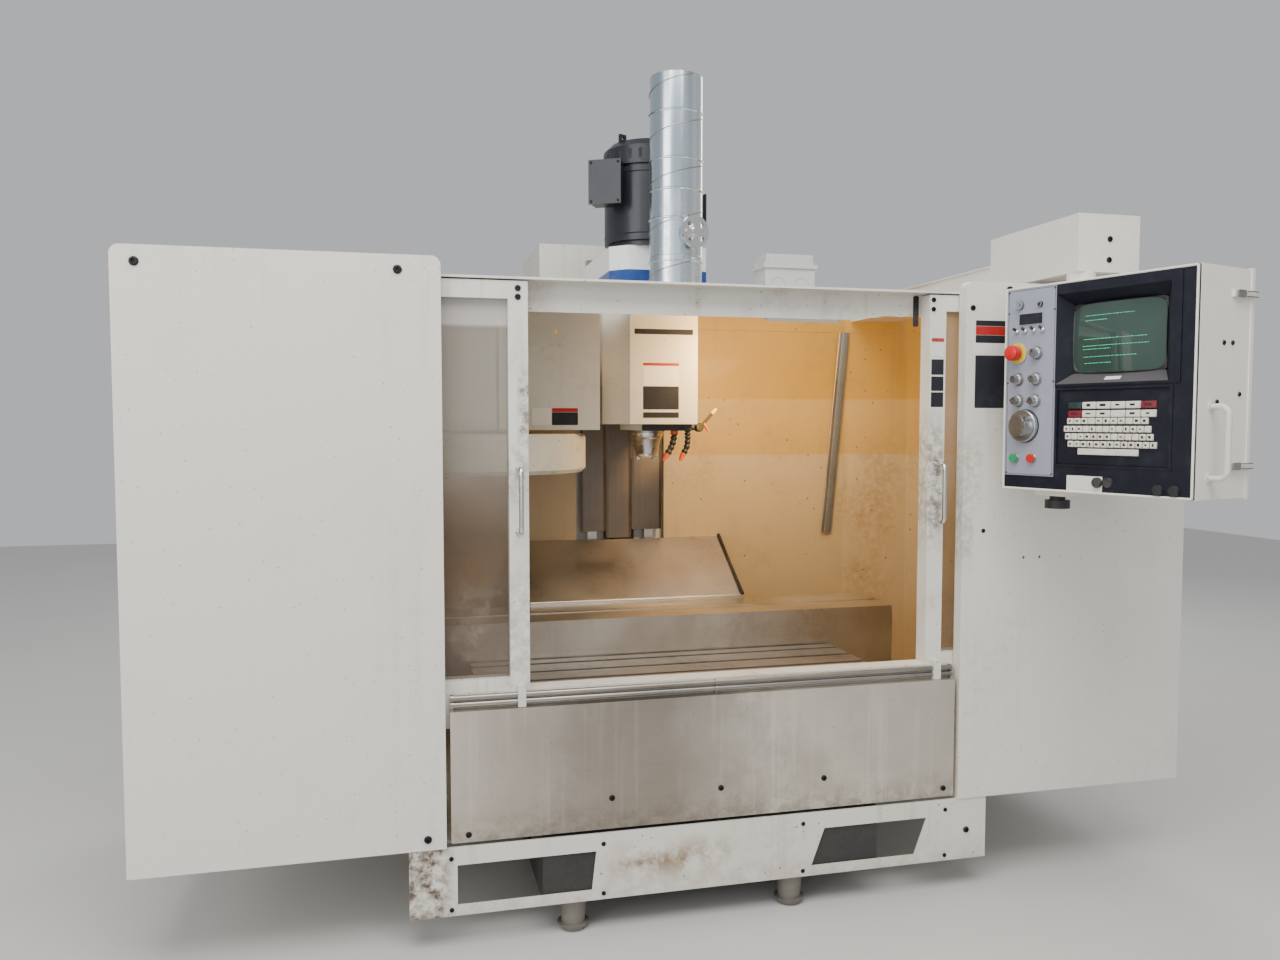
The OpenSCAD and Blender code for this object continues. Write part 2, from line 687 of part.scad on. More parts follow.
// A hose of ball-jointed links that turns a little at each link, ending in a nozzle
module jointed_hose(x, turns) {
    angle = [for (i = 0, a = turns[0]; i < len(turns); i = i + 1, a = a + (i < len(turns) ? turns[i] : 0)) a];
    step = [for (a = angle) hose_link * [sin(a), 0, -cos(a)]];
    top = [x, bar_y + bar_d / 2, head_z - bar_h + 2];
    start = [for (i = 0, p = top; i < len(turns); p = p + step[i], i = i + 1) p];
    for (i = [0:len(turns) - 1]) translate(start[i]) rotate([0, 180 - angle[i], 0])
        cylinder(d1 = 22, d2 = 17, h = hose_link + 1);
    last = len(turns) - 1;
    translate(start[last] + step[last]) rotate([0, 180 - angle[last], 0]) cylinder(d1 = 16, d2 = 7, h = 25);
}

module coolant_hoses() color([0.15, 0.15, 0.17]) placed() {
    span([-40, 124], [bar_y, bar_y + bar_d], [head_z - bar_h, head_z]);
    jointed_hose(66, [0, -8, -14, -10, -4]);
    jointed_hose(112, [0, 4, -12, -16, -6]);
    // The valve on the bar's right end
    translate([120, bar_y + bar_d / 2, head_z - bar_h / 2]) rotate([0, 90, 0])
        cylinder(d = 16, h = valve_x - 129);
    translate([valve_x, bar_y + 1, head_z - bar_h / 2]) rotate([-90, 0, 0]) difference() {
        cylinder(d = 30, h = 24);
        translate([0, 0, -1]) cylinder(d = lever_pin + 2 * run_clearance, h = 16);
    }
}

module coolant_lever() color("orange") placed() translate([valve_x, bar_y + 1 - gap, head_z - bar_h / 2])
    rotate([90, 0, 0]) {
        translate([0, 0, -14]) cylinder(d = lever_pin, h = 15);
        cylinder(d = 24, h = 7);
        rotate([0, 0, 48]) span([0, 76], [-5, 5], [2, 7]);
    }

module spindle() color(chrome) placed() translate([0, spindle_y, 0]) difference() {
    union() {
        translate([0, 0, head_z - 22]) cylinder(d = quill_d, h = 420);
        translate([0, 0, head_z + 398]) cylinder(d = pulley_d, h = 90);
        rotate_extrude() polygon([[0, nose_z + 8], [nose_d / 2 - 4, nose_z + 8], [nose_d / 2, nose_z + 12],
            [nose_d / 2, nose_z + 20], [shoulder_d / 2 - 3, head_z - 50], [shoulder_d / 2 + 3, head_z - 44],
            [shoulder_d / 2 + 3, head_z - 21], [0, head_z - 21]]);
        // Driving keys on the nose
        for_both(nose_d / 2 - 8) span([-7, 5], [-8, 8], [nose_z, nose_z + 10]);
    }
    translate([0, 0, nose_z - 1]) cylinder(d1 = taper_d, d2 = 25, h = 68);
    cylinder(d = drawbar_d, h = head_z + 200);
    // Slots for the spanner around the taper
    for (a = [0:60:300]) rotate([0, 0, a]) translate([shoulder_d / 2 - 4, 0, nose_z + 42])
        rotate([0, -13, 0]) translate([0, -4, -16]) cube([12, 8, 34]);
}

// The ball screws of the saddle and of the head, each between two bearing blocks
module ball_screws() color(chrome) placed() {
    ends = [y_rail_front + 20, y_rail_front + y_rail_length - 60];
    translate([0, ends[0], base_top + 21]) rotate([-90, 0, 0])
        cylinder(d = screw_d - 8, h = ends[1] + 40 - ends[0]);
    for (y = ends) span([-40, 40], [y, y + 40], [base_top, base_top + 40]);
    translate([0, column_y + 46, base_top + 360]) cylinder(d = screw_d, h = 1160);
    for (z = [base_top + 340, base_top + 1500]) span([gap - screw_window, screw_window - gap],
        [column_y + 16, column_y + column_wall], [z, z + 50]);
}

module saddle() color(iron) placed() difference() {
    union() {
        span([-saddle_half, saddle_half], [table_y + 20, table_y + table_d - 20], [saddle_z, saddle_top]);
        for_both(y_rail_x) for (y = [table_y + 40, table_y + table_d - 40 - truck_length])
            span([-38, 38], [y, y + truck_length], [saddle_z - truck_drop, saddle_z]);
        for (y = x_rail_y) span([-saddle_half, saddle_half], [y - rail_w / 2, y + rail_w / 2],
            [saddle_top, saddle_top + rail_h]);
        span([-saddle_half, saddle_half], [table_y + table_d - 20, table_y + table_d + cover_lug],
            [saddle_z + 20, saddle_z + 50]);
    }
    for_both(y_rail_x) span([-rail_w / 2 - gap, rail_w / 2 + gap], [table_y, table_y + table_d + 20],
        [base_top - 1, base_top + rail_h + gap]);
}

module y_cover_front() color(steel) placed() {
    y0 = table_y + table_d + cover_lug;
    edge = cover_half - 4;
    skirt_z = 482;
    difference() {
        span([-edge, edge], [y0, y0 + 22], [skirt_z - 12, cover_z]);
        span([-cover_half, cover_half], [y0 + sheet, y0 + 23], [skirt_z - 13, cover_z - sheet]);
        span([-700, 700], [y0 - 1, y0 + sheet + 1], [450, skirt_z]);
    }
    span([-edge, edge], [y0 + 22, y0 + 132], [cover_z - sheet, cover_z]);
    span([-saddle_half, saddle_half], [y0, y0 + sheet], [saddle_z + 20, skirt_z]);
}

module y_cover_middle() color(steel) placed() {
    span([-cover_half, cover_half], middle_cover, [cover_z + gap, cover_z + cover_t + gap]);
    for_both(cover_half - 1.5) span([-1.5, 1.5], middle_cover, [640, cover_z + gap]);
}

module table() color([0.6, 0.6, 0.58]) placed() difference() {
    union() {
        span([-table_w / 2, table_w / 2], [table_y, table_y + table_d], [table_z - table_t + 20, table_z]);
        span([-table_w / 2 + 30, table_w / 2 - 30], [table_y + 40, table_y + table_d - 40],
            [table_z - table_t, table_z - table_t + 20]);
        for (y = x_rail_y) for (x = [-300, 180]) span([x, x + truck_length], [y - 36, y + 36],
            [table_z - table_t - truck_drop, table_z - table_t]);
    }
    for (i = [-2:2]) translate([0, table_y + table_d / 2 + i * slot_pitch, table_z]) {
        span([-table_w, table_w], [-slot_neck / 2, slot_neck / 2], [-36, 1]);
        span([-table_w, table_w], [-slot_neck / 2 - 7, slot_neck / 2 + 7], [-36, -20]);
    }
    for (y = x_rail_y) span([-table_w, table_w], [y - rail_w / 2 - gap, y + rail_w / 2 + gap],
        [table_z - table_t - rail_h, table_z - table_t - 6 + gap]);
}

// A door frame: posts, rails and a clip for the guide bars on its leading post
module door_frame(x, leading) {
    clip_x = leading > 0 ? x + door_w - 24 : x + 24;
    difference() {
        span([x, x + door_w], [door_y, door_back], [door_bottom, door_top]);
        span([x + post_w, x + door_w - post_w], [door_y - 1, door_back + 1],
            [door_bottom + rail_low, door_top - rail_high]);
        window_groove(x);
    }
    difference() {
        union() {
            span(around(clip_x, clip_w / 2), [guide_y - 14, track_y - gap],
                [splash_top + 1, door_bottom + 14]);
            span(around(clip_x, clip_w / 2), [guide_y, door_y], [door_bottom, door_bottom + 14]);
        }
        for (z = guide_z) translate([clip_x - clip_w / 2 - 1, guide_y, z]) rotate([0, 90, 0])
            cylinder(d = guide_d + 2 * guide_clearance, h = clip_w + 2);
    }
}

module window_groove(x) span([x + post_w - groove, x + door_w - post_w + groove],
    [door_y + 20, door_y + 26], [door_bottom + rail_low - groove, door_top - rail_high + groove]);

module left_door_frame() color(paint) placed() door_frame(left_door_x, 1);
module left_door_window() color([0.8, 0.85, 0.85, 0.35]) placed() window_groove(left_door_x);
module right_door_frame() color(paint) placed() door_frame(right_door_x, -1);
module right_door_window() color([0.8, 0.85, 0.85, 0.35]) placed() window_groove(right_door_x);

module left_door_handle() color(chrome) placed()
    translate([left_door_x + door_w - post_w / 2, door_y, handle_z])
        d_handle(handle_h, handle_rod, handle_reach);

module right_door_handle() color(chrome) placed()
    translate([right_door_x + post_w / 2, door_y, handle_z]) d_handle(handle_h, handle_rod, handle_reach);

// The pendant's own frame: x right along its face, y into its body, z up from its underside
module on_pendant() placed() translate([pendant_x, pendant_y, pendant_z])
    rotate([0, 0, -pendant_angle]) children();

// A place on the pendant's face, turned so that z stands out of it
module on_face(x, z, out) translate([x, -out, z]) rotate([90, 0, 0]) children();

module pendant_housing() color(paint) on_pendant() {
    difference() {
        span([0, pendant_w], [0, pendant_d - 14], [0, pendant_h]);
        span([sheet, pendant_w - sheet], [-1, pendant_d - 30], [sheet, pendant_h - sheet]);
    }
    span([0, pendant_w], [pendant_d - 14, pendant_d - 12], [2, pendant_h - 2]);
    span([-3, pendant_w + 3], [pendant_d - 12, pendant_d], [-3, pendant_h + 3]);
    // Draw latches on the near side
    for (z = [68, 470]) {
        span([pendant_w, pendant_w + 6], [pendant_d - 90, pendant_d - 40], [z, z + 16]);
        span([pendant_w + 3, pendant_w + 9], [pendant_d - 60, pendant_d - 2], [z + 3, z + 13]);
    }
    swivel_post();
    // The clamp bracket under the housing
    span(around(clamp_at[0], 45), around(clamp_at[1], 35), [-clamp_t, 0]);
    translate([clamp_at[0], clamp_at[1], -34]) cylinder(d = clamp_screw, h = 18.5);
}

module swivel_post() {
    dx = swivel_x - pendant_x;
    dy = swivel_y - pendant_y;
    x = dx * cos(pendant_angle) - dy * sin(pendant_angle);
    y = dx * sin(pendant_angle) + dy * cos(pendant_angle);
    translate([x, y, pendant_h]) {
        cylinder(d = swivel_d + 40, h = 12);
        cylinder(d = swivel_d, h = arm_z + 22 - pendant_z - pendant_h);
    }
}

// A frustum from a rectangle at depth y0 to one at depth y1 of the pendant's face
module splay(x0, z0, y0, x1, z1, y1) hull() {
    span(x0, [y0, y0 + 0.01], z0);
    span(x1, [y1 - 0.01, y1], z1);
}

module pendant_bezel() color(navy) on_pendant() difference() {
    union() {
        span([2, pendant_w - 2], [-bezel_t, 0], [2, pendant_h - 2]);
        splay(well_x + [-wall_t, wall_t], well_z + [-wall_t, wall_t], -1,
            tube_x + [-wall_t, wall_t], tube_z + [-wall_t, wall_t], well_depth);
        // Raised borders around the tube and the keyboard
        span([well_x[0] - 4, 490], [-bezel_t - 3, -bezel_t], [well_z[0] - 5, 530]);
        span([keys_x[0] - 4, keys_x[1] + 8], [-bezel_t - 2.5, -bezel_t], keys_z + [-6, 6]);
    }
    splay(well_x, well_z, -bezel_t - 3.1, tube_x, tube_z, well_depth + 0.1);
    span(keys_x, [-bezel_t - 4, -3], keys_z);
    span(plate_x + [-1, 1], [-bezel_t - 4, -bezel_t + plate_t], plate_z + [-1, 1]);
    control_bores();
}

// Bores for the stems of the pressing and turning controls
module control_bores() for (p = controls) on_face(p[0], p[1], -1)
    cylinder(d = stem_d + 2 * run_clearance, h = 40);

// The bulged front of the picture tube, cut from a large ball, with the tube's body behind it
module crt_screen() color([0.28, 0.42, 0.40]) on_pendant() {
    bulge = 476;
    face_depth = 17;
    rim_depth = well_depth + wall_t;
    intersection() {
        translate([(tube_x[0] + tube_x[1]) / 2, face_depth + bulge, (tube_z[0] + tube_z[1]) / 2])
            sphere(r = bulge, $fn = 96);
        span(tube_x + [gap, -gap], [0, rim_depth], tube_z + [gap, -gap]);
    }
    span(tube_x, [rim_depth, pendant_d - 60], tube_z);
}

module control_plate() color([0.72, 0.76, 0.82]) on_pendant() difference() {
    union() {
        span(plate_x, [-bezel_t - plate_t + 1, -bezel_t + plate_t], plate_z);
        // Display window, key switch, lamp and the row of toggle switches
        span([46, 121], [-face_out - 1, -face_out + 3], [436, 467]);
        on_face(49, 490, face_out - 1) {
            cylinder(d = 22, h = 8);
            span([-2.5, 2.5], [-12, 12], [8, 22]);
        }
        on_face(111, 487, face_out - 1) cylinder(d = 14, h = 6);
        for (x = [41, 67, 94, 121]) on_face(x, 420, face_out - 1) {
            cylinder(d = 11, h = 4);
            rotate([-24, 0, 0]) cylinder(d1 = 5, d2 = 7, h = 18);
        }
        on_face(46, 363, face_out - 1) cylinder(d = 56, h = 4);
    }
    control_bores();
}

// Places of the turning and pressing controls on the face: x, z
controls = [[46, 363], [43, 84], [97, 85], [70, 170], [105, 361], [47, 294], [104, 293], [49, 237],
    [102, 236]];

// A row of equal keys between two places on the face
module key_row(x0, x1, z, count, h) {
    pitch = (x1 - x0) / count;
    for (i = [0:count - 1]) span([x0 + i * pitch, x0 + (i + 1) * pitch - 1.6], [-key_out, -5], [z, z + h]);
}

module keyboard() color([0.92, 0.9, 0.84]) on_pendant() {
    span(keys_x + [gap, -gap], [-5.5, -3], keys_z + [gap, -gap]);
    for (z = [213, 192]) key_row(200, 436, z, 6, 18);
    key_row(197, 417, 175, 11, 16);
    key_row(188, 424, 155, 13, 16);
    key_row(192, 430, 136, 13, 16);
    key_row(200, 439, 117, 13, 16);
    key_row(229, 391, 98, 1, 16);
}

// A pressed button: stem in the plate, collar and cap, standing gap clear of its seat
module push_button(i, stem, cap_d, cap_h, seat) on_pendant() on_face(controls[i][0], controls[i][1], seat) {
    translate([0, 0, -8]) cylinder(d = stem_d, h = 8 + stem);
    translate([0, 0, stem - 1]) cylinder(d = cap_d, h = cap_h);
}

module emergency_stop() color("red") {
    push_button(0, 9, 38, 14, face_out + 3);
    on_pendant() on_face(controls[0][0], controls[0][1], face_out + 3 + 21) cylinder(d1 = 38, d2 = 30, h = 5);
}
module start_button() color("green") push_button(1, 6, 22, 9, face_out - 1);
module stop_button() color("red") push_button(2, 6, 22, 9, face_out - 1);

module turning_knob(i, d, h) on_pendant() on_face(controls[i][0], controls[i][1], face_out - 1 + gap) {
    translate([0, 0, -8]) cylinder(d = stem_d, h = 9);
    cylinder(d1 = d, d2 = d * 0.92, h = h * 0.35);
    translate([0, 0, h * 0.35]) cylinder(d = d * 0.6, h = h * 0.65);
}

module jog_handwheel() color(chrome) {
    turning_knob(3, wheel_d, 34);
    on_pendant() on_face(controls[3][0], controls[3][1], face_out + gap + 6)
        rotate([0, 0, 40]) translate([wheel_d / 2 - 12, 0, 0]) cylinder(d = 12, h = 26);
}

module selector_knob(i) color(chrome) {
    turning_knob(i + 3, knob_d, 22);
    on_pendant() on_face(controls[i + 3][0], controls[i + 3][1], face_out - 1 + gap + 21)
        rotate([0, 0, 20 * i]) span([-2, 2], [-4, 11], [0, 3]);
}
module selector_knob_1() selector_knob(1);
module selector_knob_2() selector_knob(2);
module selector_knob_3() selector_knob(3);
module selector_knob_4() selector_knob(4);
module selector_knob_5() selector_knob(5);

module pendant_handle() color([0.8, 0.79, 0.74]) on_pendant()
    translate([pendant_w, pendant_handle_in, 50]) rotate([0, 0, 90])
        d_handle(165, pendant_handle_rod, pendant_handle_reach);

module clamp_knob() color("black") on_pendant() translate([clamp_at[0], clamp_at[1], -clamp_t - gap])
    difference() {
        union() {
            translate([0, 0, -34]) cylinder(d = 64, h = 22);
            translate([0, 0, -12.5]) cylinder(d = 40, h = 12.5);
        }
        translate([0, 0, -19]) cylinder(d = clamp_screw + 2 * run_clearance, h = 30);
    }

base_casting();
column();
levelling_feet();
fixed_guide_rails();
left_front_panel();
right_front_panel();
base_fascia();
splash_panel();
door_guide_bars();
front_frame();
side_panels();
inner_walls();
roof_panel();
exhaust_duct();
damper_dial();
junction_box();
rear_apron();
chip_pan();
electrical_cabinet();
cabinet_door();
changer_cover();
changer_housing();
tool_carousel();
control_arm();
arm_lid();
head_casting();
head_cover();
belt_guard();
spindle_motor();
z_way_cover();
coolant_hoses();
coolant_lever();
spindle();
saddle();
y_cover_front();
y_cover_middle();
table();
left_door_frame();
left_door_window();
left_door_handle();
right_door_frame();
right_door_window();
right_door_handle();
pendant_housing();
pendant_bezel();
crt_screen();
control_plate();
keyboard();
emergency_stop();
start_button();
stop_button();
jog_handwheel();
selector_knob_1();
selector_knob_2();
selector_knob_3();
selector_knob_4();
selector_knob_5();
pendant_handle();
clamp_knob();
ball_screws();
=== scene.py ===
"""Finishes, trim and small fittings of a vertical machining centre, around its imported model.

Metres. x runs to the right along the front, z up from the floor. Depths are given from the front plane
of the two front panels, and at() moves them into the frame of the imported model.
"""

import math

import bpy
import numpy as np
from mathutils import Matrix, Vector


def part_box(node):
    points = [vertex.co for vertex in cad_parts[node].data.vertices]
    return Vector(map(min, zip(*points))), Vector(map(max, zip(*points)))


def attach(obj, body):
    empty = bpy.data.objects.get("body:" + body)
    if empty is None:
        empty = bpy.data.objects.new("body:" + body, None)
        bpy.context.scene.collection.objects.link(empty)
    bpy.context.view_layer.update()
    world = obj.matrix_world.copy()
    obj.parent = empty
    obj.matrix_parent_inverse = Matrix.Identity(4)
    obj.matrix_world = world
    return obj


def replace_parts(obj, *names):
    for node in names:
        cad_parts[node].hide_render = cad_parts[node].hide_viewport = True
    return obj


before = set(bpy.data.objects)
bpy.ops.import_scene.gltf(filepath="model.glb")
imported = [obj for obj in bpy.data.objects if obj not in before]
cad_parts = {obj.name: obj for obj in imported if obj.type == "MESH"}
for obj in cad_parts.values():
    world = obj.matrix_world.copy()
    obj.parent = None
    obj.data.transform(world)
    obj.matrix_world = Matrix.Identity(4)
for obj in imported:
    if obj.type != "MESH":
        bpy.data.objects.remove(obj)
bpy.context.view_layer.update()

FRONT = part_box("left_front_panel")[0][1]  # depth of the front plane in the model's frame
# Depths of other fronts: the header, the doors, the tool changer, the spindle head, the splash panel and fascia
HEADER_FRONT, DOOR_FRONT, CHANGER_FRONT, HEAD_FRONT, SHEET_FRONT = 0.095, 0.04, 0.55, 0.62, 0.004
DUCT_AXIS = np.array((0.01, 0.47, 0))
MOTOR_AXIS = np.array((0, 0.75, 0))
SPINDLE_AXIS = np.array((0, 0.8, 0))
HOSE_DEPTH = 0.683  # depth of the plane that both coolant hoses bend in
VALVE_X, VALVE_Z = 0.15, 1.319

# The pendant's own frame: x right along its face, y into its body, z up
PENDANT = (0.788, -0.084, 1.155)  # far lower corner of that face
PENDANT_TURN = math.radians(72.7)  # its angle to the machine's front
FACE = -0.01  # depth of the control plate's outer surface
BEZEL = -0.008  # depth of the bezel's outer surface
TUBE_CENTRE = np.array((0.312, 0, 0.391))  # middle of the picture tube
TUBE_SIZE = (0.1235, 0.087)  # half width and half height of its face
TUBE_FRONT = 0.0135  # depth of its foremost point
TUBE_RADIUS = 0.78  # radius that its face bulges with

# x and z of the controls on the pendant's face
STOP = (0.046, 0.363)
WHEEL = (0.07, 0.17)
BUTTONS = ((0.043, 0.084), (0.097, 0.085))
SELECTORS = ((0.105, 0.361), (0.047, 0.294), (0.104, 0.293), (0.049, 0.237), (0.102, 0.236))
TOGGLES = ((0.041, 0.42), (0.067, 0.42), (0.094, 0.42), (0.121, 0.42))
BROAD_ROWS = (0.213, 0.192)  # lower edges of the two rows of broad keys
SMALL_ROWS = (  # left end, right end, lower edge and number of keys
    (0.197, 0.417, 0.175, 11), (0.188, 0.424, 0.155, 13), (0.192, 0.43, 0.136, 13), (0.2, 0.439, 0.117, 13),
)

GREY_WARM = (0.7, 0.675, 0.6)
BODY_PAINT = (0.735, 0.715, 0.645)
DRIED = (0.86, 0.82, 0.72)  # dried coolant on the splash panel
ALONG_X, ALONG_Y, UP = (1, 0, 0), (0, 1, 0), (0, 0, 1)
OUT = (0, -1, 0)  # towards the front, and off the pendant's face
SHARP_ANGLE = math.radians(32)  # edges that bend more than this stay sharp


# ---- places


def at(points):
    """Points given from the front plane, moved into the model's frame."""
    return np.asarray(points, float) + (0, FRONT, 0)


def on_face(points):
    """Points of the pendant's own frame, turned about z and moved to its place."""
    x, y, z = np.moveaxis(np.asarray(points, float), -1, 0)
    c, s = math.cos(PENDANT_TURN), math.sin(PENDANT_TURN)
    return at(np.stack([x * c + y * s, y * c - x * s, z], -1) + PENDANT)


def heading(direction, place=on_face):
    """A direction of the pendant's own frame, or of another place's, in the model's frame."""
    return place(np.asarray(direction, float)) - place(np.zeros(3))


# ---- shapes


def angles(count):
    """Equal angles, once round."""
    return np.arange(count) * 2 * math.pi / count


def circle(u, v, a):
    """Unit vectors at angles, between two that are square to each other."""
    return np.cos(a)[:, None] * u + np.sin(a)[:, None] * v


def grid_faces(rows, cols, closed=False):
    """Faces of a grid whose columns run round. A closed grid also joins its last row to its first."""
    i, j = np.meshgrid(np.arange(rows if closed else rows - 1), np.arange(cols), indexing="ij")
    k, m = (j + 1) % cols, (i + 1) % rows
    return np.stack([i * cols + j, i * cols + k, m * cols + k, m * cols + j], -1).reshape(-1, 4).tolist()


def outward(verts, faces):
    """Turns all faces round where the signed volume, summed over fans from each first corner, is negative."""
    volume = 0.0
    centre = verts.mean(0)
    for size in sorted({len(f) for f in faces}):
        corners = verts[np.array([f for f in faces if len(f) == size])] - centre
        for n in range(1, size - 1):
            volume += np.einsum("ij,ij->", corners[:, 0], np.cross(corners[:, n], corners[:, n + 1]))
    return verts, faces if volume > 0 else [f[::-1] for f in faces]


def loft(rings):
    """Joins rings of equally many points, row by row, and closes both ends with one face each."""
    rings = np.asarray(rings, float)
    rows, cols = rings.shape[:2]
    ends = [list(range(cols))[::-1], list(range((rows - 1) * cols, rows * cols))]
    return outward(rings.reshape(-1, 3), grid_faces(rows, cols) + ends)


def band_of(loops):
    """Joins closed loops one after another and the last one to the first, into a ring-shaped solid."""
    rows = np.asarray(loops, float)
    return outward(rows.reshape(-1, 3), grid_faces(*rows.shape[:2], closed=True))


def axes(direction):
    """Two unit vectors square to a direction and to each other, and the unit direction."""
    w = np.asarray(direction, float) / np.linalg.norm(direction)
    side = np.cross(UP if abs(w[2]) < 0.9 else ALONG_X, w)
    u = side / np.linalg.norm(side)
    return u, np.cross(w, u), w


def fluted(profile, centre, direction, flutes, depth, sides=96):
    """A turned part whose radius dips by depth x the third profile value, flutes times around."""
    u, v, w = axes(direction)
    a = angles(sides)
    dip = 0.5 - 0.5 * np.cos(a * flutes)
    rings = []
    for r, h, share in profile:
        radius = (r - depth * share * dip)[:, None]
        rings.append(np.asarray(centre) + radius * circle(u, v, a) + h * w)
    return loft(rings)


def turned(profile, centre, direction, sides=32):
    """A turned part: each (radius, distance) of the profile becomes a circle about the axis."""
    return fluted([(r, h, 0) for r, h in profile], centre, direction, 0, 0, sides)


def socket_screw(centre, direction, radius, sides=18):
    """A low button head: rings up the domed side, over the rim and down a hexagonal socket."""
    u, v, w = axes(direction)
    a = angles(sides)
    head = circle(u, v, a)
    sector = np.mod(a, math.pi / 3) - math.pi / 6
    socket = head * (math.cos(math.pi / 6) / np.cos(sector))[:, None]
    steps = ((head, 1, 0), (head, 0.96, 0.28), (head, 0.78, 0.5), (head, 0.58, 0.56), (socket, 0.5, 0.54),
             (socket, 0.47, 0.12))
    return loft([np.asarray(centre) + shape * radius * wide + w * radius * high for shape, wide, high in steps])


def outline(width, height, corner, steps=5):
    """A rounded rectangle about its centre: four quarter circles joined by straight sides."""
    a = np.linspace(0, math.pi / 2, steps)
    pts = []
    for turn, (sx, sy) in enumerate(((1, 1), (-1, 1), (-1, -1), (1, -1))):
        b = a + turn * math.pi / 2
        cx, cy = sx * (width / 2 - corner), sy * (height / 2 - corner)
        pts.append(np.stack([cx + corner * np.cos(b), cy + corner * np.sin(b)], -1))
    return np.concatenate(pts)


def pad(origin, u, v, width, height, thick, corner=0.003, edge=0.0006, place=at):
    """A thin plate standing on a face: its rounded outline is carried out by thick, and its edge is broken."""
    u, v = np.asarray(u, float), np.asarray(v, float)
    w = np.cross(u, v)
    rings = []
    for inset, out in ((0, 0), (0, thick - edge), (edge, thick)):
        flat = outline(width - 2 * inset, height - 2 * inset, max(corner - inset, 1e-4))
        rings.append(np.asarray(origin) + flat[:, :1] * u + flat[:, 1:] * v + out * w)
    return loft([place(r) for r in rings])


def front_pad(x, z, y, thick, **more):
    """A plate on a face that looks to the front, from its x and z spans and that face's depth."""
    centre = ((x[0] + x[1]) / 2, y, (z[0] + z[1]) / 2)
    return pad(centre, ALONG_X, UP, x[1] - x[0], z[1] - z[0], thick, **more)


def face_pad(x, z, y, thick, **more):
    """A plate on the pendant's face."""
    return front_pad(x, z, y, thick, place=on_face, **more)


def tube(path, radius, sides=12):
    """A round bar along a path: a circle square to the path's direction at each of its points."""
    path = np.asarray(path, float)
    along = np.gradient(path, axis=0)
    along /= np.linalg.norm(along, axis=1)[:, None]
    u = axes(along[0])[0]
    rings = []
    for p, t, r in zip(path, along, np.broadcast_to(radius, len(path))):
        u = u - t * np.dot(u, t)
        u /= np.linalg.norm(u)
        rings.append(p + r * circle(u, np.cross(t, u), angles(sides)))
    return loft(rings)


def curve_through(points, count):
    """A smooth path through points: each stretch is the cubic that keeps the slope of its neighbours."""
    p = np.asarray(points, float)
    p = np.concatenate([[2 * p[0] - p[1]], p, [2 * p[-1] - p[-2]]])
    s = np.linspace(0, len(p) - 3 - 1e-9, count)
    i = s.astype(int)
    t = (s - i)[:, None]
    a, b, c, d = p[i], p[i + 1], p[i + 2], p[i + 3]
    return b + 0.5 * t * (c - a + t * (2 * a - 5 * b + 4 * c - d + t * (3 * (b - c) + d - a)))


def piece(name, parts, body, finish, smooth=True):
    """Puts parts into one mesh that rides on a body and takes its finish."""
    verts, faces, first = [], [], 0
    for v, f in parts:
        verts.append(v)
        faces += [[first + i for i in face] for face in f]
        first += len(v)
    mesh = bpy.data.meshes.new(name)
    mesh.from_pydata(np.concatenate(verts).tolist(), [], faces)
    mesh.materials.append(finish)
    if smooth:
        mesh.shade_smooth()
        mesh.set_sharp_from_angle(angle=SHARP_ANGLE)
    mesh.update()
    obj = bpy.data.objects.new(name, mesh)
    bpy.context.scene.collection.objects.link(obj)
    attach(obj, body)
    return obj


# ---- shared effects

NUMBER, COLOUR, ARROW = "NodeSocketFloat", "NodeSocketColor", "NodeSocketVector"


def group(name, inputs, outputs):
    """An empty node group with named sockets: its tree, its input node's outputs and its output node's inputs."""
    tree = bpy.data.node_groups.new(name, "ShaderNodeTree")
    for label, kind, value in inputs:
        socket = tree.interface.new_socket(name=label, in_out="INPUT", socket_type=kind)
        if value is not None:
            socket.default_value = value
    for label, kind in outputs:
        tree.interface.new_socket(name=label, in_out="OUTPUT", socket_type=kind)
    return tree, tree.nodes.new("NodeGroupInput").outputs, tree.nodes.new("NodeGroupOutput").inputs


def fill(tree, socket, value):
    """Links another node's output to a socket, or sets a value there."""
    if isinstance(value, bpy.types.NodeSocket):
        tree.links.new(value, socket)
    else:
        socket.default_value = (*value, 1) if socket.type == "RGBA" and len(value) == 3 else value


def add(tree, kind, settings=None, **inputs):
    """A node with its settings and inputs; an input is named, or numbered as i0, i1 and so on."""
    node = tree.nodes.new("ShaderNode" + kind)
    for key, value in (settings or {}).items():
        setattr(node, key, value)
    for key, value in inputs.items():
        numbered = key[0] == "i" and key[1:].isdigit()
        fill(tree, node.inputs[int(key[1:]) if numbered else key.replace("_", " ")], value)
    return node


def coords(tree):
    """The object coordinates, which every pattern is laid on."""
    return add(tree, "TexCoord").outputs["Object"]


def coordinate(tree, axis):
    """One of the object coordinates."""
    return add(tree, "SeparateXYZ", Vector=coords(tree)).outputs[axis]


def noise(tree, scale, detail=4.0, rough=0.6, where=None):
    """Fractal noise from 0 to 1, on the object coordinates unless it is given others."""
    vector = coords(tree) if where is None else where
    return add(tree, "TexNoise", Vector=vector, Scale=scale, Detail=detail, Roughness=rough).outputs["Fac"]


def streaks(tree, factors, detail, rough=0.6):
    """Noise on object coordinates stretched by three factors, so that its pattern runs along one axis."""
    drawn = add(tree, "Mapping", Vector=coords(tree), Scale=factors).outputs["Vector"]
    return noise(tree, 1.0, detail, rough, drawn)


def spread(tree, value, low, high, to_low=0.0, to_high=1.0):
    """A value carried from one span to another and held at its ends."""
    node = add(tree, "MapRange", Value=value, From_Min=low, From_Max=high, To_Min=to_low, To_Max=to_high)
    return node.outputs["Result"]


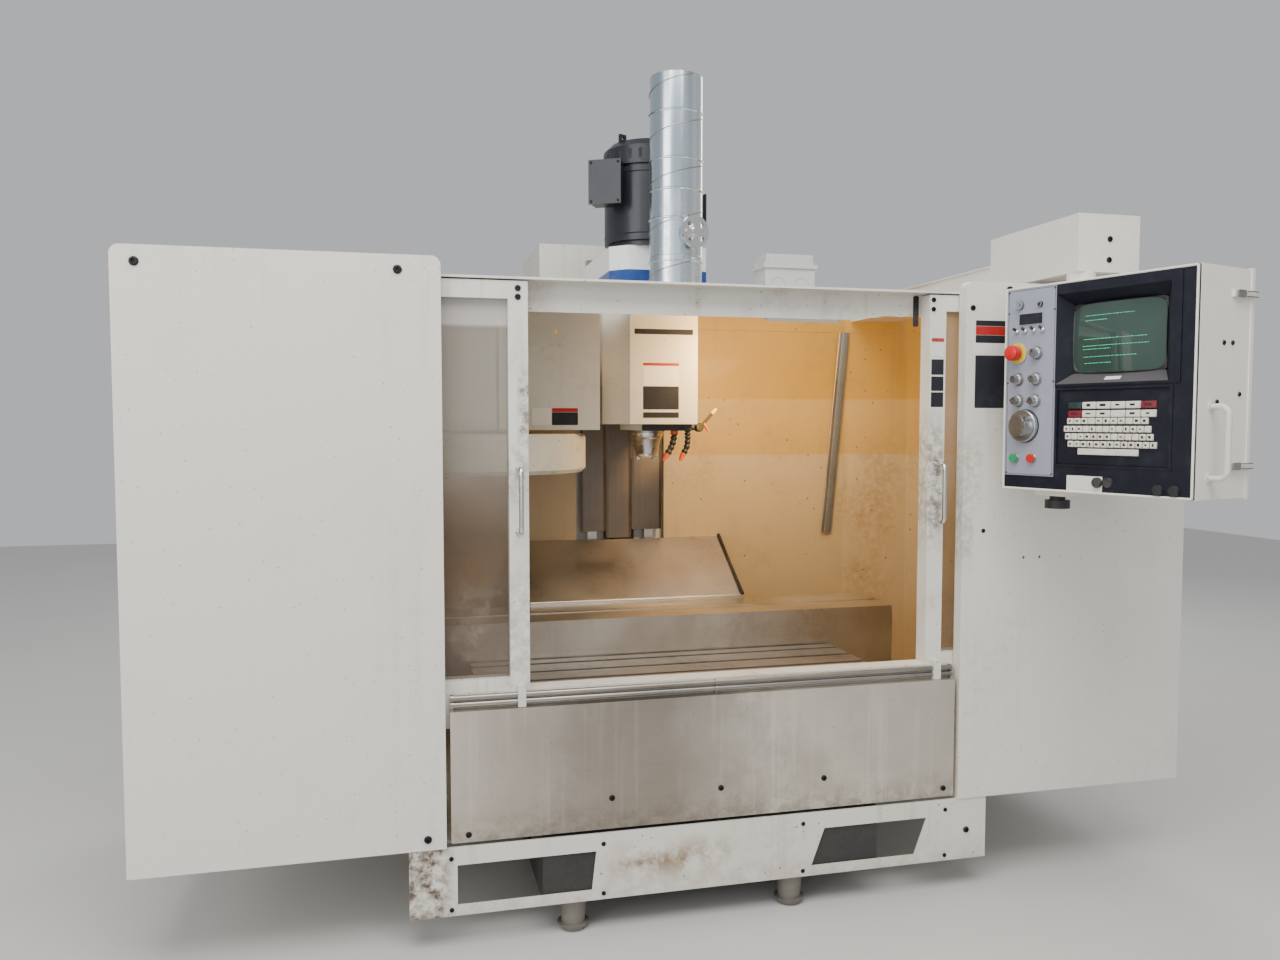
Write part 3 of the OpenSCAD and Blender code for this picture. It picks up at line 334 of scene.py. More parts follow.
def combine(tree, operation, *values, clamp=False):
    """Values joined by one operation of a Math node."""
    inputs = {f"i{n}": value for n, value in enumerate(values)}
    return add(tree, "Math", {"operation": operation, "use_clamp": clamp}, **inputs).outputs[0]


def times(tree, a, b):
    """The product of two masks."""
    return combine(tree, "MULTIPLY", a, b, clamp=True)


def mix(tree, share, a, b):
    """The colour a where share is 0 and b where it is 1."""
    return add(tree, "Mix", {"data_type": "RGBA"}, i0=share, i6=a, i7=b).outputs[2]


def near(tree, axis, middle, reach):
    """1 where one object coordinate has its middle value, falling evenly to 0 at the reach on both sides."""
    off = combine(tree, "SUBTRACT", coordinate(tree, axis), middle)
    return spread(tree, combine(tree, "ABSOLUTE", off), reach, 0.0)


def smudge_places(tree, given):
    """Cloudy dirt: coarse noise picks the places, fine noise breaks them up."""
    coarse = spread(tree, noise(tree, given["Size"], 3.0), 0.48, 0.74)
    return times(tree, coarse, spread(tree, noise(tree, 46.0, 5.0, 0.7), 0.36, 0.68))


def run_places(tree, _):
    """Marks that run down a wall: noise stretched along z, kept where a broad noise allows it."""
    runs = spread(tree, streaks(tree, (34, 34, 1.1), 3.0), 0.56, 0.8)
    return times(tree, runs, spread(tree, noise(tree, 2.3, 2.0), 0.42, 0.62))


def cells(tree, density, channel):
    """A Voronoi pattern: the distance from each cell's middle, and one channel of the cell's own colour."""
    pattern = add(tree, "TexVoronoi", Vector=coords(tree), Scale=density).outputs
    return pattern["Distance"], add(tree, "SeparateColor", Color=pattern["Color"]).outputs[channel]


def speck_places(tree, given):
    """Small round spots: the middle of each cell of a Voronoi pattern, kept in a share of the cells."""
    distance, pick = cells(tree, given["Density"], 0)
    return times(tree, spread(tree, distance, 0.16, 0.09), spread(tree, pick, 0.78, 0.86))


def height_places(tree, given):
    """Dirt that grows from the clean height to the dirty one, broken up by noise."""
    rise = spread(tree, coordinate(tree, "Z"), given["Clean Z"], given["Dirty Z"])
    return times(tree, rise, spread(tree, noise(tree, 22.0, 6.0, 0.72), 0.4, 0.6))


def dirt_effect(name, places, **extras):
    """A group that lays Dirt over Color by the mask that places() gives, times Amount."""
    sockets = [("Color", COLOUR, None), ("Dirt", COLOUR, None), ("Amount", NUMBER, 0.3)]
    sockets += [(label.replace("_", " "), NUMBER, value) for label, value in extras.items()]
    tree, given, result = group(name, sockets, [("Color", COLOUR), ("Mask", NUMBER)])
    mask = times(tree, places(tree, given), given["Amount"])
    tree.links.new(mix(tree, mask, given["Color"], given["Dirt"]), result["Color"])
    tree.links.new(mask, result["Mask"])
    return tree


def make_brushing():
    """Brushed metal: fine noise drawn out along one axis, and broad clouds over it."""
    tree, given, result = group("Brushing", [("Stretch", ARROW, (1, 1, 1)), ("Depth", NUMBER, 0.2)],
                                [("Height", NUMBER), ("Tone", NUMBER), ("Roughness", NUMBER)])
    lines = streaks(tree, given["Stretch"], 3.0, 0.5)
    clouds = noise(tree, 3.2, 4.0, 0.55)
    both = combine(tree, "MULTIPLY_ADD", lines, given["Depth"], clouds)
    tree.links.new(lines, result["Height"])
    tree.links.new(spread(tree, both, 0.3, 0.9), result["Tone"])
    tree.links.new(spread(tree, clouds, 0.3, 0.7, 0.26, 0.48), result["Roughness"])
    return tree


def make_orange_peel():
    """The soft dimples of sprayed paint, with a long slow ripple of the sheet beneath."""
    tree, given, result = group("Orange Peel", [("Grain", NUMBER, 260.0)], [("Height", NUMBER)])
    dimples = noise(tree, given["Grain"], 2.0, 0.5)
    tree.links.new(combine(tree, "MULTIPLY_ADD", noise(tree, 2.0, 1.0), 6.0, dimples), result["Height"])
    return tree


SHARED = {
    "smudges": dirt_effect("Smudges", smudge_places, Size=3.0),
    "runs": dirt_effect("Run Marks", run_places),
    "specks": dirt_effect("Specks", speck_places, Density=60.0),
    "height": dirt_effect("Height Dirt", height_places, Clean_Z=0.3, Dirty_Z=0.0),
    "brushing": make_brushing(),
    "peel": make_orange_peel(),
}


def shared(tree, name, **inputs):
    """The outputs of one of the shared groups, placed in a material's tree."""
    node = tree.nodes.new("ShaderNodeGroup")
    node.node_tree = SHARED[name]
    for key, value in inputs.items():
        fill(tree, node.inputs[key.replace("_", " ")], value)
    return node.outputs


def peel(tree, grain):
    """The height of the orange peel, for a bump."""
    return shared(tree, "peel", Grain=grain)["Height"]


def layered(tree, colour, *layers):
    """Dirt laid over a colour in turn. Each layer is its effect, its dirt, its amount and its own inputs.

    Returns the colour that comes out and the last layer's mask.
    """
    for effect, dirt, amount, *own in layers:
        result = shared(tree, effect, Color=colour, Dirt=dirt, Amount=amount, **dict(own))
        colour = result["Color"]
    return colour, result["Mask"]


def stain(tree, colour, dirt, amount, shares, size):
    """Dirt laid over a colour where all shares meet, broken up by fine noise."""
    mask = times(tree, spread(tree, noise(tree, size, 6.0, 0.7), 0.4, 0.6), amount)
    for share in shares:
        mask = times(tree, mask, share)
    return mix(tree, mask, colour, dirt), mask


# ---- finishes


def start(name, roughness=0.5, metallic=0.0, **values):
    """A new material and its node tree. The values that are the same all over are set on its shader."""
    material = bpy.data.materials.new(name)
    material.use_nodes = True
    tree = material.node_tree
    for key, value in {"Roughness": roughness, "Metallic": metallic, **values}.items():
        tree.nodes["Principled BSDF"].inputs[key.replace("_", " ")].default_value = value
    return material, tree


def dress(material, colour, roughness=None, height=None, strength=0.12, distance=0.001, **more):
    """Joins what varies over the surface to the material's shader, and returns the material."""
    tree = material.node_tree
    if roughness is not None:
        more["Roughness"] = roughness
    if height is not None:
        more["Normal"] = add(tree, "Bump", Height=height, Strength=strength, Distance=distance).outputs["Normal"]
    for key, output in {"Base Color": colour, **more}.items():
        tree.links.new(output, tree.nodes["Principled BSDF"].inputs[key.replace("_", " ")])
    return material


def painted(name, colour, dirt=(0.2, 0.16, 0.11), smudge=0.35, size=3.0, runs=0.25, specks=0.4, marks=(),
            roughness=0.42):
    """Sprayed enamel on steel, with smudges, runs and specks.

    Each of the marks is a grimy place: its middle and reach along x, its middle and reach along z, and how
    strong it is.
    """
    material, tree = start(name, roughness, Coat_Weight=0.12)
    colour, mask = layered(tree, colour, ("smudges", dirt, smudge, ("Size", size)))
    colour = layered(tree, colour, ("runs", dirt, runs), ("specks", [c * 0.5 for c in dirt], specks))[0]
    for x, reach_x, z, reach_z, amount in marks:
        shares = [spread(tree, near(tree, "X", x, reach_x), 0, 0.5), spread(tree, near(tree, "Z", z, reach_z), 0, 0.6)]
        colour, grime = stain(tree, colour, dirt, amount, shares, 42.0)
        mask = combine(tree, "MAXIMUM", mask, grime)
    return dress(material, colour, spread(tree, mask, 0.0, 0.6, roughness, 0.8), peel(tree, 260.0))


def brushed(name, colour, dark, stretch, dirt=(0.1, 0.08, 0.06), smudge=0.25):
    """Bare sheet metal, brushed along one axis, with clouds of old coolant on it."""
    material, tree = start(name, 0.34, 1.0)
    lines = shared(tree, "brushing", Stretch=stretch, Depth=0.25)
    colour = mix(tree, lines["Tone"], dark, colour)
    colour = layered(tree, colour, ("smudges", dirt, smudge, ("Size", 4.0)), ("runs", dirt, 0.3))[0]
    return dress(material, colour, lines["Roughness"], lines["Height"], 0.12, 0.0004)


def splash_sheet(name):
    """The splash panel's stainless sheet: a darker field left of the middle, pale dried runs and crust right of
    it, faint brushing and a dirty lower edge."""
    material, tree = start(name, 0.36, 0.9)
    lines = shared(tree, "brushing", Stretch=(1.4, 300, 300), Depth=0.3)
    cloud = noise(tree, 2.1, 3.0, 0.5)
    field = combine(tree, "MULTIPLY_ADD", cloud, 1.1, near(tree, "X", -0.24, 0.46))
    broad = spread(tree, field, 1.25, 0.62)
    colour = mix(tree, broad, (0.315, 0.272, 0.228), (0.615, 0.565, 0.485))
    colour = mix(tree, spread(tree, lines["Tone"], 0.2, 0.9, 0.0, 0.14), colour, (0.8, 0.77, 0.72))
    right = spread(tree, near(tree, "X", 0.25, 0.42), 0.0, 0.6)
    colour = layered(tree, colour, ("runs", DRIED, 0.3), ("runs", DRIED, times(tree, right, 0.8)))[0]
    colour = stain(tree, colour, (0.8, 0.76, 0.66), 0.6, [right, spread(tree, cloud, 0.45, 0.62)], 7.0)[0]
    colour = layered(tree, colour, ("smudges", (0.8, 0.77, 0.69), 0.2, ("Size", 3.4)),
                     ("specks", (0.16, 0.13, 0.1), 0.4),
                     ("height", (0.13, 0.1, 0.07), 0.55, ("Clean_Z", 0.36), ("Dirty_Z", 0.268)))[0]
    return dress(material, colour, spread(tree, broad, 0, 1, 0.3, 0.46), lines["Height"], 0.06, 0.0003)


def galvanised(name):
    """Bright zinc: painted reflections streak down its length over faint Voronoi crystals, scratched in its lower part.
    """
    material, tree = start(name, 0.24, 0.95)
    # Painted reflection: streaks from light blue to white stand in for the surroundings mirrored in the zinc.
    broad = spread(tree, streaks(tree, (17, 17, 0.5), 2.0, 0.4), 0.38, 0.62)
    colour = mix(tree, broad, (0.42, 0.52, 0.6), (0.93, 0.94, 0.93))
    crystals = cells(tree, 110.0, 1)[1]
    colour = mix(tree, times(tree, crystals, 0.1), colour, (0.5, 0.54, 0.56))
    scratches = spread(tree, streaks(tree, (150, 150, 3), 3.0), 0.52, 0.66)
    colour, mask = layered(tree, colour, ("height", (0.34, 0.33, 0.31), spread(tree, scratches, 0, 1, 0.15, 0.6),
                                          ("Clean_Z", 2.05), ("Dirty_Z", 1.97)))
    return dress(material, colour, spread(tree, mask, 0, 0.4, 0.2, 0.42), noise(tree, 9.0, 2.0), 0.12, 0.002)


def moulded(name, colour, roughness=0.45, grain=420.0, strength=0.08, wear=(0.3, 0.28, 0.24), amount=0.25, **values):
    """Moulded plastic or rubber: a fine even grain, and finger marks that dull it."""
    material, tree = start(name, roughness, **values)
    colour, mask = layered(tree, colour, ("smudges", wear, amount, ("Size", 14.0)))
    dulled = spread(tree, mask, 0, 0.5, roughness, roughness + 0.25)
    return dress(material, colour, dulled, peel(tree, grain), strength, 0.0006)


def machined(name, colour, dark, roughness=0.3, stretch=(60, 60, 60), smudge=0.3, metallic=1.0):
    """Turned, ground or cast metal: a close grain, with oil and dirt in patches."""
    material, tree = start(name, roughness, metallic)
    lines = shared(tree, "brushing", Stretch=stretch, Depth=0.3)
    colour = layered(tree, mix(tree, lines["Tone"], dark, colour),
                     ("smudges", (0.07, 0.055, 0.04), smudge, ("Size", 6.0)), ("specks", (0.12, 0.06, 0.03), smudge))[0]
    polish = spread(tree, lines["Tone"], 0, 1, roughness + 0.15, roughness)
    return dress(material, colour, polish, lines["Height"], 0.15, 0.0005)


def clear_sheet(name, haze=0.0):
    """Clear plastic window: wiped coolant, browner towards its foot, and by haze a pale field near its top."""
    material, tree = start(name, 0.12, IOR=1.49)
    height = coordinate(tree, "Z")
    tint = mix(tree, spread(tree, height, 1.05, 1.35), (0.15, 0.11, 0.08), (0.4, 0.37, 0.32))
    field = times(tree, spread(tree, height, 1.572, 1.582), haze)
    colour, mask = layered(tree, mix(tree, field, tint, (0.6, 0.57, 0.555)),
                           ("smudges", (0.46, 0.41, 0.34), 0.7, ("Size", 4.0)))
    cover = combine(tree, "MULTIPLY_ADD", field, 0.45, spread(tree, mask, 0, 0.8, 0.34, 0.5))
    return dress(material, colour, None, peel(tree, 60.0), 0.05, Alpha=cover)


def tube_glass(name):
    """The lit face of the picture tube: a dim green with slow clouds, under smooth glass."""
    material, tree = start(name, 0.07, Coat_Weight=0.5, Coat_Roughness=0.03, Emission_Strength=0.2)
    colour = mix(tree, noise(tree, 5.0, 2.0), (0.022, 0.044, 0.036), (0.04, 0.072, 0.059))
    return dress(material, colour, Emission_Color=colour)


def glowing(name, colour, strength):
    """A lit surface with a slight flicker of tone over it."""
    material, tree = start(name, 0.4, Emission_Strength=strength)
    shade = mix(tree, noise(tree, 90.0), [c * 0.8 for c in colour], colour)
    return dress(material, shade, Emission_Color=shade)


def amber_wall(name):
    """The enclosure's inner walls: amber enamel, partly coolant stain and partly painted warm lamp light."""
    material, tree = start(name, 0.4, Coat_Weight=0.2)
    height = coordinate(tree, "Z")
    # Painted shade and light: deeper amber up top as shade under the header, paler below each of two heights as room
    # light.
    colour = mix(tree, spread(tree, height, 1.425, 1.432), (0.47, 0.305, 0.1), (0.44, 0.258, 0.048))
    colour = mix(tree, spread(tree, height, 1.205, 1.215), (0.48, 0.37, 0.21), colour)
    colour = layered(tree, colour, ("smudges", (0.21, 0.125, 0.04), 0.65, ("Size", 3.4)),
                     ("runs", (0.25, 0.155, 0.065), 0.4), ("specks", (0.1, 0.06, 0.03), 0.8, ("Density", 34.0)),
                     ("specks", (0.16, 0.09, 0.04), 0.6, ("Density", 110.0)))[0]
    return dress(material, colour, None, peel(tree, 160.0), 0.15)


def fascia_enamel(name):
    """The base's fascia: grey enamel, rusted through at its left end, with brown smears below the middle."""
    material, tree = start(name, 0.45, Coat_Weight=0.1)
    colour = layered(tree, GREY_WARM, ("smudges", (0.3, 0.26, 0.2), 0.45, ("Size", 4.0)),
                     ("runs", (0.22, 0.17, 0.11), 0.3), ("specks", (0.1, 0.07, 0.04), 0.8, ("Density", 44.0)),
                     ("height", (0.2, 0.15, 0.1), 0.5, ("Clean_Z", 0.16), ("Dirty_Z", 0.05)))[0]
    rust = spread(tree, near(tree, "X", -0.775, 0.085), 0.0, 0.5)
    colour, rust_mask = stain(tree, colour, (0.085, 0.045, 0.022), 0.95, [rust], 34.0)
    smear = [spread(tree, near(tree, "X", -0.13, 0.22), 0, 0.6), near(tree, "Z", 0.175, 0.07)]
    colour, smear_mask = stain(tree, colour, (0.24, 0.145, 0.06), 0.9, smear, 16.0)
    mask = combine(tree, "MAXIMUM", rust_mask, smear_mask)
    return dress(material, colour, spread(tree, mask, 0.0, 0.6, 0.45, 0.85), peel(tree, 240.0))


SHEET = dict(smudge=0.22, size=2.2, runs=0.16, specks=0.5)
POST = dict(smudge=0.45, size=8.0, runs=0.4, specks=0.9)
PANEL = painted("panel_enamel", BODY_PAINT, **SHEET)
LOW_PANEL = fascia_enamel("base_enamel")
FRAME = painted("frame_enamel", BODY_PAINT, smudge=0.6, size=7.0, runs=0.35, specks=0.8)
LEFT_POST = painted("left_door_enamel", BODY_PAINT, **POST, marks=(
    (-0.503, 0.026, 1.365, 0.13, 0.9), (-0.52, 0.05, 1.2, 0.1, 0.5), (-0.52, 0.05, 0.8, 0.2, 0.4)))
RIGHT_POST = painted("right_door_enamel", BODY_PAINT, **POST, marks=(
    (0.65, 0.034, 1.17, 0.22, 0.9), (0.607, 0.014, 0.98, 0.42, 0.9)))
RIGHT_PANEL = painted("right_panel_enamel", BODY_PAINT, **SHEET, marks=(
    (0.735, 0.045, 1.2, 0.14, 0.4), (0.725, 0.03, 1.02, 0.12, 0.4)))
HOUSING = painted("pendant_enamel", (0.83, 0.805, 0.72), smudge=0.2, size=5.0, runs=0.15, specks=0.3)
# The head's enamel is darker than the body paint as painted shade, for the header's shadow over the head.
HEAD = painted("head_enamel", (0.65, 0.625, 0.55), smudge=0.25, size=4.0, runs=0.2, specks=0.6)
WHITE = painted("white_enamel", (0.84, 0.86, 0.87), smudge=0.2, runs=0.1, specks=0.3, roughness=0.3)
CREAM = painted("cream_enamel", (0.76, 0.72, 0.58), (0.22, 0.15, 0.07), smudge=0.6, size=7.0, runs=0.5, specks=0.9)
AMBER = amber_wall("amber_enamel")
MOTOR = painted("motor_enamel", (0.009, 0.01, 0.017), (0.035, 0.035, 0.038), smudge=0.4, size=6.0, runs=0.1,
                roughness=0.36)
HANDLE_GREY = painted("handle_enamel", (0.66, 0.65, 0.6), smudge=0.5, size=9.0, runs=0.1, specks=0.4)
NAVY = moulded("navy_enamel", (0.0075, 0.0086, 0.017), 0.44, 300.0, 0.15, (0.05, 0.055, 0.07), 0.3,
               Specular_IOR_Level=0.3)
SPLASH = splash_sheet("splash_stainless")
COVER = brushed("cover_stainless", (0.72, 0.68, 0.61), (0.5, 0.455, 0.395), (1.2, 200, 200), (0.22, 0.17, 0.11), 0.45)
STRIPS = brushed("way_strip_stainless", (0.22, 0.185, 0.15), (0.1, 0.085, 0.07), (220, 220, 1.4), smudge=0.6)
ZINC = galvanised("zinc_coat")

CHROME = machined("chrome", (0.82, 0.82, 0.8), (0.62, 0.62, 0.6), 0.16, (8, 8, 8), 0.25)
BAR_STEEL = machined("guide_bar_steel", (0.42, 0.4, 0.37), (0.22, 0.2, 0.18), 0.3, (3, 90, 90), 0.5)
GROUND = machined("ground_steel", (0.66, 0.65, 0.62), (0.44, 0.42, 0.4), 0.26, (4, 160, 160), 0.5)
TURNED = machined("turned_steel", (0.78, 0.76, 0.72), (0.42, 0.4, 0.37), 0.22, (6, 6, 320), 0.4)
IRON = machined("cast_iron", (0.24, 0.25, 0.24), (0.13, 0.13, 0.125), 0.5, (90, 90, 90), 0.6, 0.6)
BASE_IRON = machined("base_iron", (0.05, 0.05, 0.047), (0.026, 0.026, 0.025), 0.6, smudge=0.6, metallic=0.2)
FOOT_IRON = machined("foot_iron", (0.26, 0.245, 0.21), (0.15, 0.14, 0.12), 0.55, smudge=0.6, metallic=0.4)
TABLE = machined("table_iron", (0.46, 0.44, 0.405), (0.28, 0.26, 0.235), 0.36, (3, 120, 120), 0.8, 0.9)
PLATE = machined("control_plate_silver", (0.38, 0.41, 0.49), (0.33, 0.355, 0.425), 0.45, (260, 260, 2), 0.12, 0.25)
KNOB_METAL = machined("knob_metal", (0.56, 0.56, 0.57), (0.26, 0.26, 0.27), 0.24, (8, 8, 8), 0.25)
OXIDE = machined("black_oxide", (0.05, 0.05, 0.052), (0.022, 0.022, 0.024), 0.42, smudge=0.2)

# Paler than the well's dark sides: painted light on the well's lower side, which faces up.
WELL_PAINTED_LIGHT = moulded("well_plastic_painted_light", (0.085, 0.08, 0.085), 0.42, 300.0, 0.1, (0.13, 0.12, 0.12), 0.5)
BLACK = moulded("black_plastic", (0.018, 0.018, 0.02), 0.5)
RED = moulded("red_plastic", (0.62, 0.012, 0.012), 0.3, wear=(0.3, 0.05, 0.04))
GREEN = moulded("green_plastic", (0.02, 0.3, 0.11), 0.35)
ORANGE = moulded("orange_plastic", (0.78, 0.105, 0.008), 0.55)
OLIVE = moulded("olive_plastic", (0.055, 0.048, 0.016), 0.42, wear=(0.3, 0.22, 0.03), amount=0.9)
YELLOW = moulded("yellow_plastic", (0.8, 0.58, 0.03), 0.4)
IVORY = moulded("ivory_plastic", (0.76, 0.73, 0.64), 0.42, wear=(0.2, 0.17, 0.13), amount=0.6)
TEAL = moulded("teal_plastic", (0.006, 0.03, 0.032))
CRIMSON = moulded("crimson_plastic", (0.21, 0.008, 0.02))
JUNCTION = moulded("grey_plastic", (0.5, 0.515, 0.5), 0.5, 200.0, 0.1, amount=0.5)
RUBBER = moulded("black_rubber", (0.014, 0.014, 0.014), 0.7, 500.0, 0.2)
BLUE_STRIPE = moulded("blue_film", (0.01, 0.055, 0.26), 0.35)
FILM_WHITE = moulded("white_film", (0.78, 0.77, 0.72), 0.4, 700.0, 0.03)
FILM_BLACK = moulded("black_film", (0.018, 0.019, 0.026), 0.62, 700.0, 0.03, (0.12, 0.12, 0.13),
                     Specular_IOR_Level=0.25)
FILM_RED = moulded("red_film", (0.42, 0.018, 0.016), 0.6, 700.0, 0.03, Specular_IOR_Level=0.25)
WINDOW = clear_sheet("clear_plastic")
LEFT_WINDOW = clear_sheet("hazy_plastic", 0.8)
GLASS = tube_glass("tube_glass")
GREEN_LIGHT = glowing("green_glow", (0.06, 0.6, 0.36), 0.75)
LAMP_LIGHT = glowing("lamp_glow", (1.0, 0.72, 0.38), 9.0)

FINISHED_NODES = {
    PANEL: "left_front_panel side_panels roof_panel electrical_cabinet cabinet_door control_arm arm_lid",
    HEAD: "column changer_cover changer_housing head_casting head_cover",
    COVER: "rear_apron y_cover_front y_cover_middle",
    CHROME: "damper_dial left_door_handle right_door_handle",
    GROUND: "fixed_guide_rails ball_screws",
    KNOB_METAL: "jog_handwheel selector_knob_1 selector_knob_2 selector_knob_3 selector_knob_4 selector_knob_5",
    LOW_PANEL: "base_fascia chip_pan",
    BLACK: "coolant_hoses clamp_knob",
    RED: "emergency_stop stop_button",
    RIGHT_PANEL: "right_front_panel", FRAME: "front_frame", LEFT_POST: "left_door_frame",
    RIGHT_POST: "right_door_frame", LEFT_WINDOW: "left_door_window", WINDOW: "right_door_window",
    AMBER: "inner_walls", SPLASH: "splash_panel", BAR_STEEL: "door_guide_bars", BASE_IRON: "base_casting",
    FOOT_IRON: "levelling_feet", ZINC: "exhaust_duct", JUNCTION: "junction_box", CREAM: "tool_carousel",
    WHITE: "belt_guard", MOTOR: "spindle_motor", STRIPS: "z_way_cover", OLIVE: "coolant_lever", TURNED: "spindle",
    IRON: "saddle", TABLE: "table", HOUSING: "pendant_housing", NAVY: "pendant_bezel", GLASS: "crt_screen",
    PLATE: "control_plate", IVORY: "keyboard", GREEN: "start_button", HANDLE_GREY: "pendant_handle",
}
NODE_FINISH = {name: finish for finish, names in FINISHED_NODES.items() for name in names.split()}
for node_name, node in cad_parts.items():
    node.data.materials.clear()
    node.data.materials.append(NODE_FINISH[node_name])


# ---- fittings


def screws(name, places, body, direction=OUT, place=at):
    """Socket screws of one body: each place is x, depth, z and the head's radius."""
    way = heading(direction, place)
    piece(name, [socket_screw(place(p[:3]), way, p[3]) for p in places], body, OXIDE)


def enclosure_screws():
    """Screws of the front panels, the splash panel, the header, the fascia, the control arm and the doors."""
    screws("front_screws", [
        (-1.398, 0, 1.7, 0.011), (-0.816, 0, 1.702, 0.011), (-0.76, 0, 0.293, 0.01), (0.735, 0, 1.652, 0.008),
        (0.911, 0, 1.7, 0.009), (0.849, 0, 1.705, 0.01), (0.78, 0, 1.03, 0.006),
    ], "machine")
    sheet = ((-0.659, 0.294), (-0.289, 0.356), (0.009, 0.357), (0.306, 0.359), (0.67, 0.299))
    screws("splash_screws", [(x, SHEET_FRONT, z, 0.008) for x, z in sheet], "machine")
    screws("header_screws", [(0.612, HEADER_FRONT, z, 0.008) for z in (1.683, 1.662)], "machine")
    fascia = [(x, SHEET_FRONT, z, 0.006) for x in (-0.703, -0.312, 0.246, 0.678) for z in (0.236, 0.104)]
    screws("fascia_screws", fascia + [(0.745, SHEET_FRONT, 0.172, 0.009)], "machine")
    screws("arm_screws", [(1.034, -0.17, 1.823, 0.008), (1.033, -0.17, 1.768, 0.008)], "machine")
    screws("left_door_screws", [(-0.522, DOOR_FRONT, z, 0.008) for z in (1.672, 1.65)], "left_door")
    screws("right_door_screws", [(0.637, DOOR_FRONT, z, 0.007) for z in (1.676, 1.65)], "right_door")


def strip(path, width, thick, shift=(0, 0)):
    """A bar whose level section, a rounded rectangle shifted in x and in depth, is carried along a path."""
    flat = outline(width, thick, 0.002, 3) + shift
    section = np.column_stack([flat, np.zeros(len(flat))])
    return loft([at(p + section) for p in path])


def enclosure_trim():
    """A seal on the header, the cover strip of the rear corner's seam, and the edges of the apron."""
    seal = front_pad((0.604, 0.62), (1.606, 1.692), HEADER_FRONT, 0.004, corner=0.004)
    piece("door_seal", [seal], "machine", RUBBER)
    # The cover strip leans with the sheet behind it
    seam = curve_through([(0.905, 1.176, 1.69), (0.872, 1.18, 1.3), (0.838, 1.184, 0.905)], 24)
    piece("seam_strip", [strip(seam, 0.03, 0.008)], "machine", IRON)
    piece("seam_edge", [strip(seam, 0.01, 0.005, (-0.021, 0.002))], "machine", COVER)
    # The apron's right end carries a thick rubber edge, and its lower edge a folded lip
    slope = ((1.186, 0.902), (1.09, 0.836), (0.985, 0.769), (0.902, 0.718))
    bar = curve_through([(0.385, y, z) for y, z in slope], 16)
    piece("apron_bar", [tube(at(bar), 0.0065)], "machine", RUBBER)
    edge = tube(at([(x, 0.902, 0.715) for x in (-0.384, 0, 0.378)]), 0.003, 8)
    piece("apron_edge", [edge], "machine", COVER)


def wall_lip():
    """Upright lip on the right half of the inner walls' top edge, straight pieces that follow their plan."""
    plan = ((0.1, 1.205), (0.915, 1.205), (1.16, 1.15), (1.29, 0.9))
    middle, height, thick = 1.723, 0.062, 0.0015
    parts = []
    for (x0, y0), (x1, y1) in zip(plan, plan[1:]):
        length = math.hypot(x1 - x0, y1 - y0)
        along = ((x1 - x0) / length, (y1 - y0) / length, 0)
        centre = ((x0 + x1) / 2, (y0 + y1) / 2, middle)
        parts.append(pad(centre, along, UP, length, height, thick, corner=0.002))
    piece("wall_lip", parts, "machine", AMBER, smooth=False)


def work_lamp():
    """A lamp under the roof: a rounded hood on a bracket, its lens turned down and to the back."""
    slope = (0, 0.8, 0.6)
    hood = pad((0.3, 0.19, 1.64), ALONG_X, slope, 0.23, 0.07, 0.03, corner=0.012, edge=0.006)
    bracket = [front_pad((x, x + 0.014), (1.645, 1.697), 0.206, 0.004, corner=0.002) for x in (0.215, 0.371)]
    piece("lamp_hood", [hood, *bracket], "machine", WHITE)
    lens = pad((0.3, 0.1905, 1.6395), (-1, 0, 0), slope, 0.206, 0.05, 0.004, corner=0.01, edge=0.002)
    piece("lamp_lens", [lens], "machine", LAMP_LIGHT)


def plates():
    """Plain plates and colour films, left without words or signs.

    Each column of films has its body, its x span and depth, and the film and z span of each strip.
    """
    columns = (
        ("head", (-0.055, 0.064), HEAD_FRONT, (
            (FILM_RED, 1.517, 1.526), (FILM_WHITE, 1.452, 1.516), (FILM_BLACK, 1.377, 1.451),
            (FILM_BLACK, 1.35, 1.368))),
        ("head", (-0.083, 0.111), HEAD_FRONT, ((FILM_BLACK, 1.617, 1.634),)),
        ("machine", (-0.421, -0.362), CHANGER_FRONT, ((FILM_WHITE, 1.327, 1.379),)),
        ("machine", (-0.36, -0.279), CHANGER_FRONT, ((FILM_RED, 1.367, 1.379), (FILM_BLACK, 1.327, 1.366))),
        ("machine", (0.745, 0.935), 0.0, (
            (FILM_BLACK, 1.603, 1.618), (FILM_RED, 1.578, 1.602), (FILM_BLACK, 1.556, 1.577),
            (FILM_WHITE, 1.522, 1.555), (FILM_BLACK, 1.375, 1.521))),
        ("right_door", (0.633, 0.671), DOOR_FRONT, (
            (FILM_RED, 1.56, 1.57), (FILM_WHITE, 1.519, 1.559), (FILM_BLACK, 1.468, 1.511),
            (FILM_BLACK, 1.423, 1.463), (FILM_BLACK, 1.378, 1.419))),
    )
    slots = {FILM_RED: "red_plastic", FILM_WHITE: "white_paint", FILM_BLACK: "black_plastic"}
    for body in ("head", "machine", "right_door"):
        strips = [(f, x, z, y) for name, x, y, column in columns if name == body for f, *z in column]
        for film, slot in slots.items():
            parts = [front_pad(x, z, y, 0.0007, corner=0.0015, edge=0.0003) for f, x, z, y in strips if f == film]
            piece(f"{body}_{film.name}", parts, body, film)


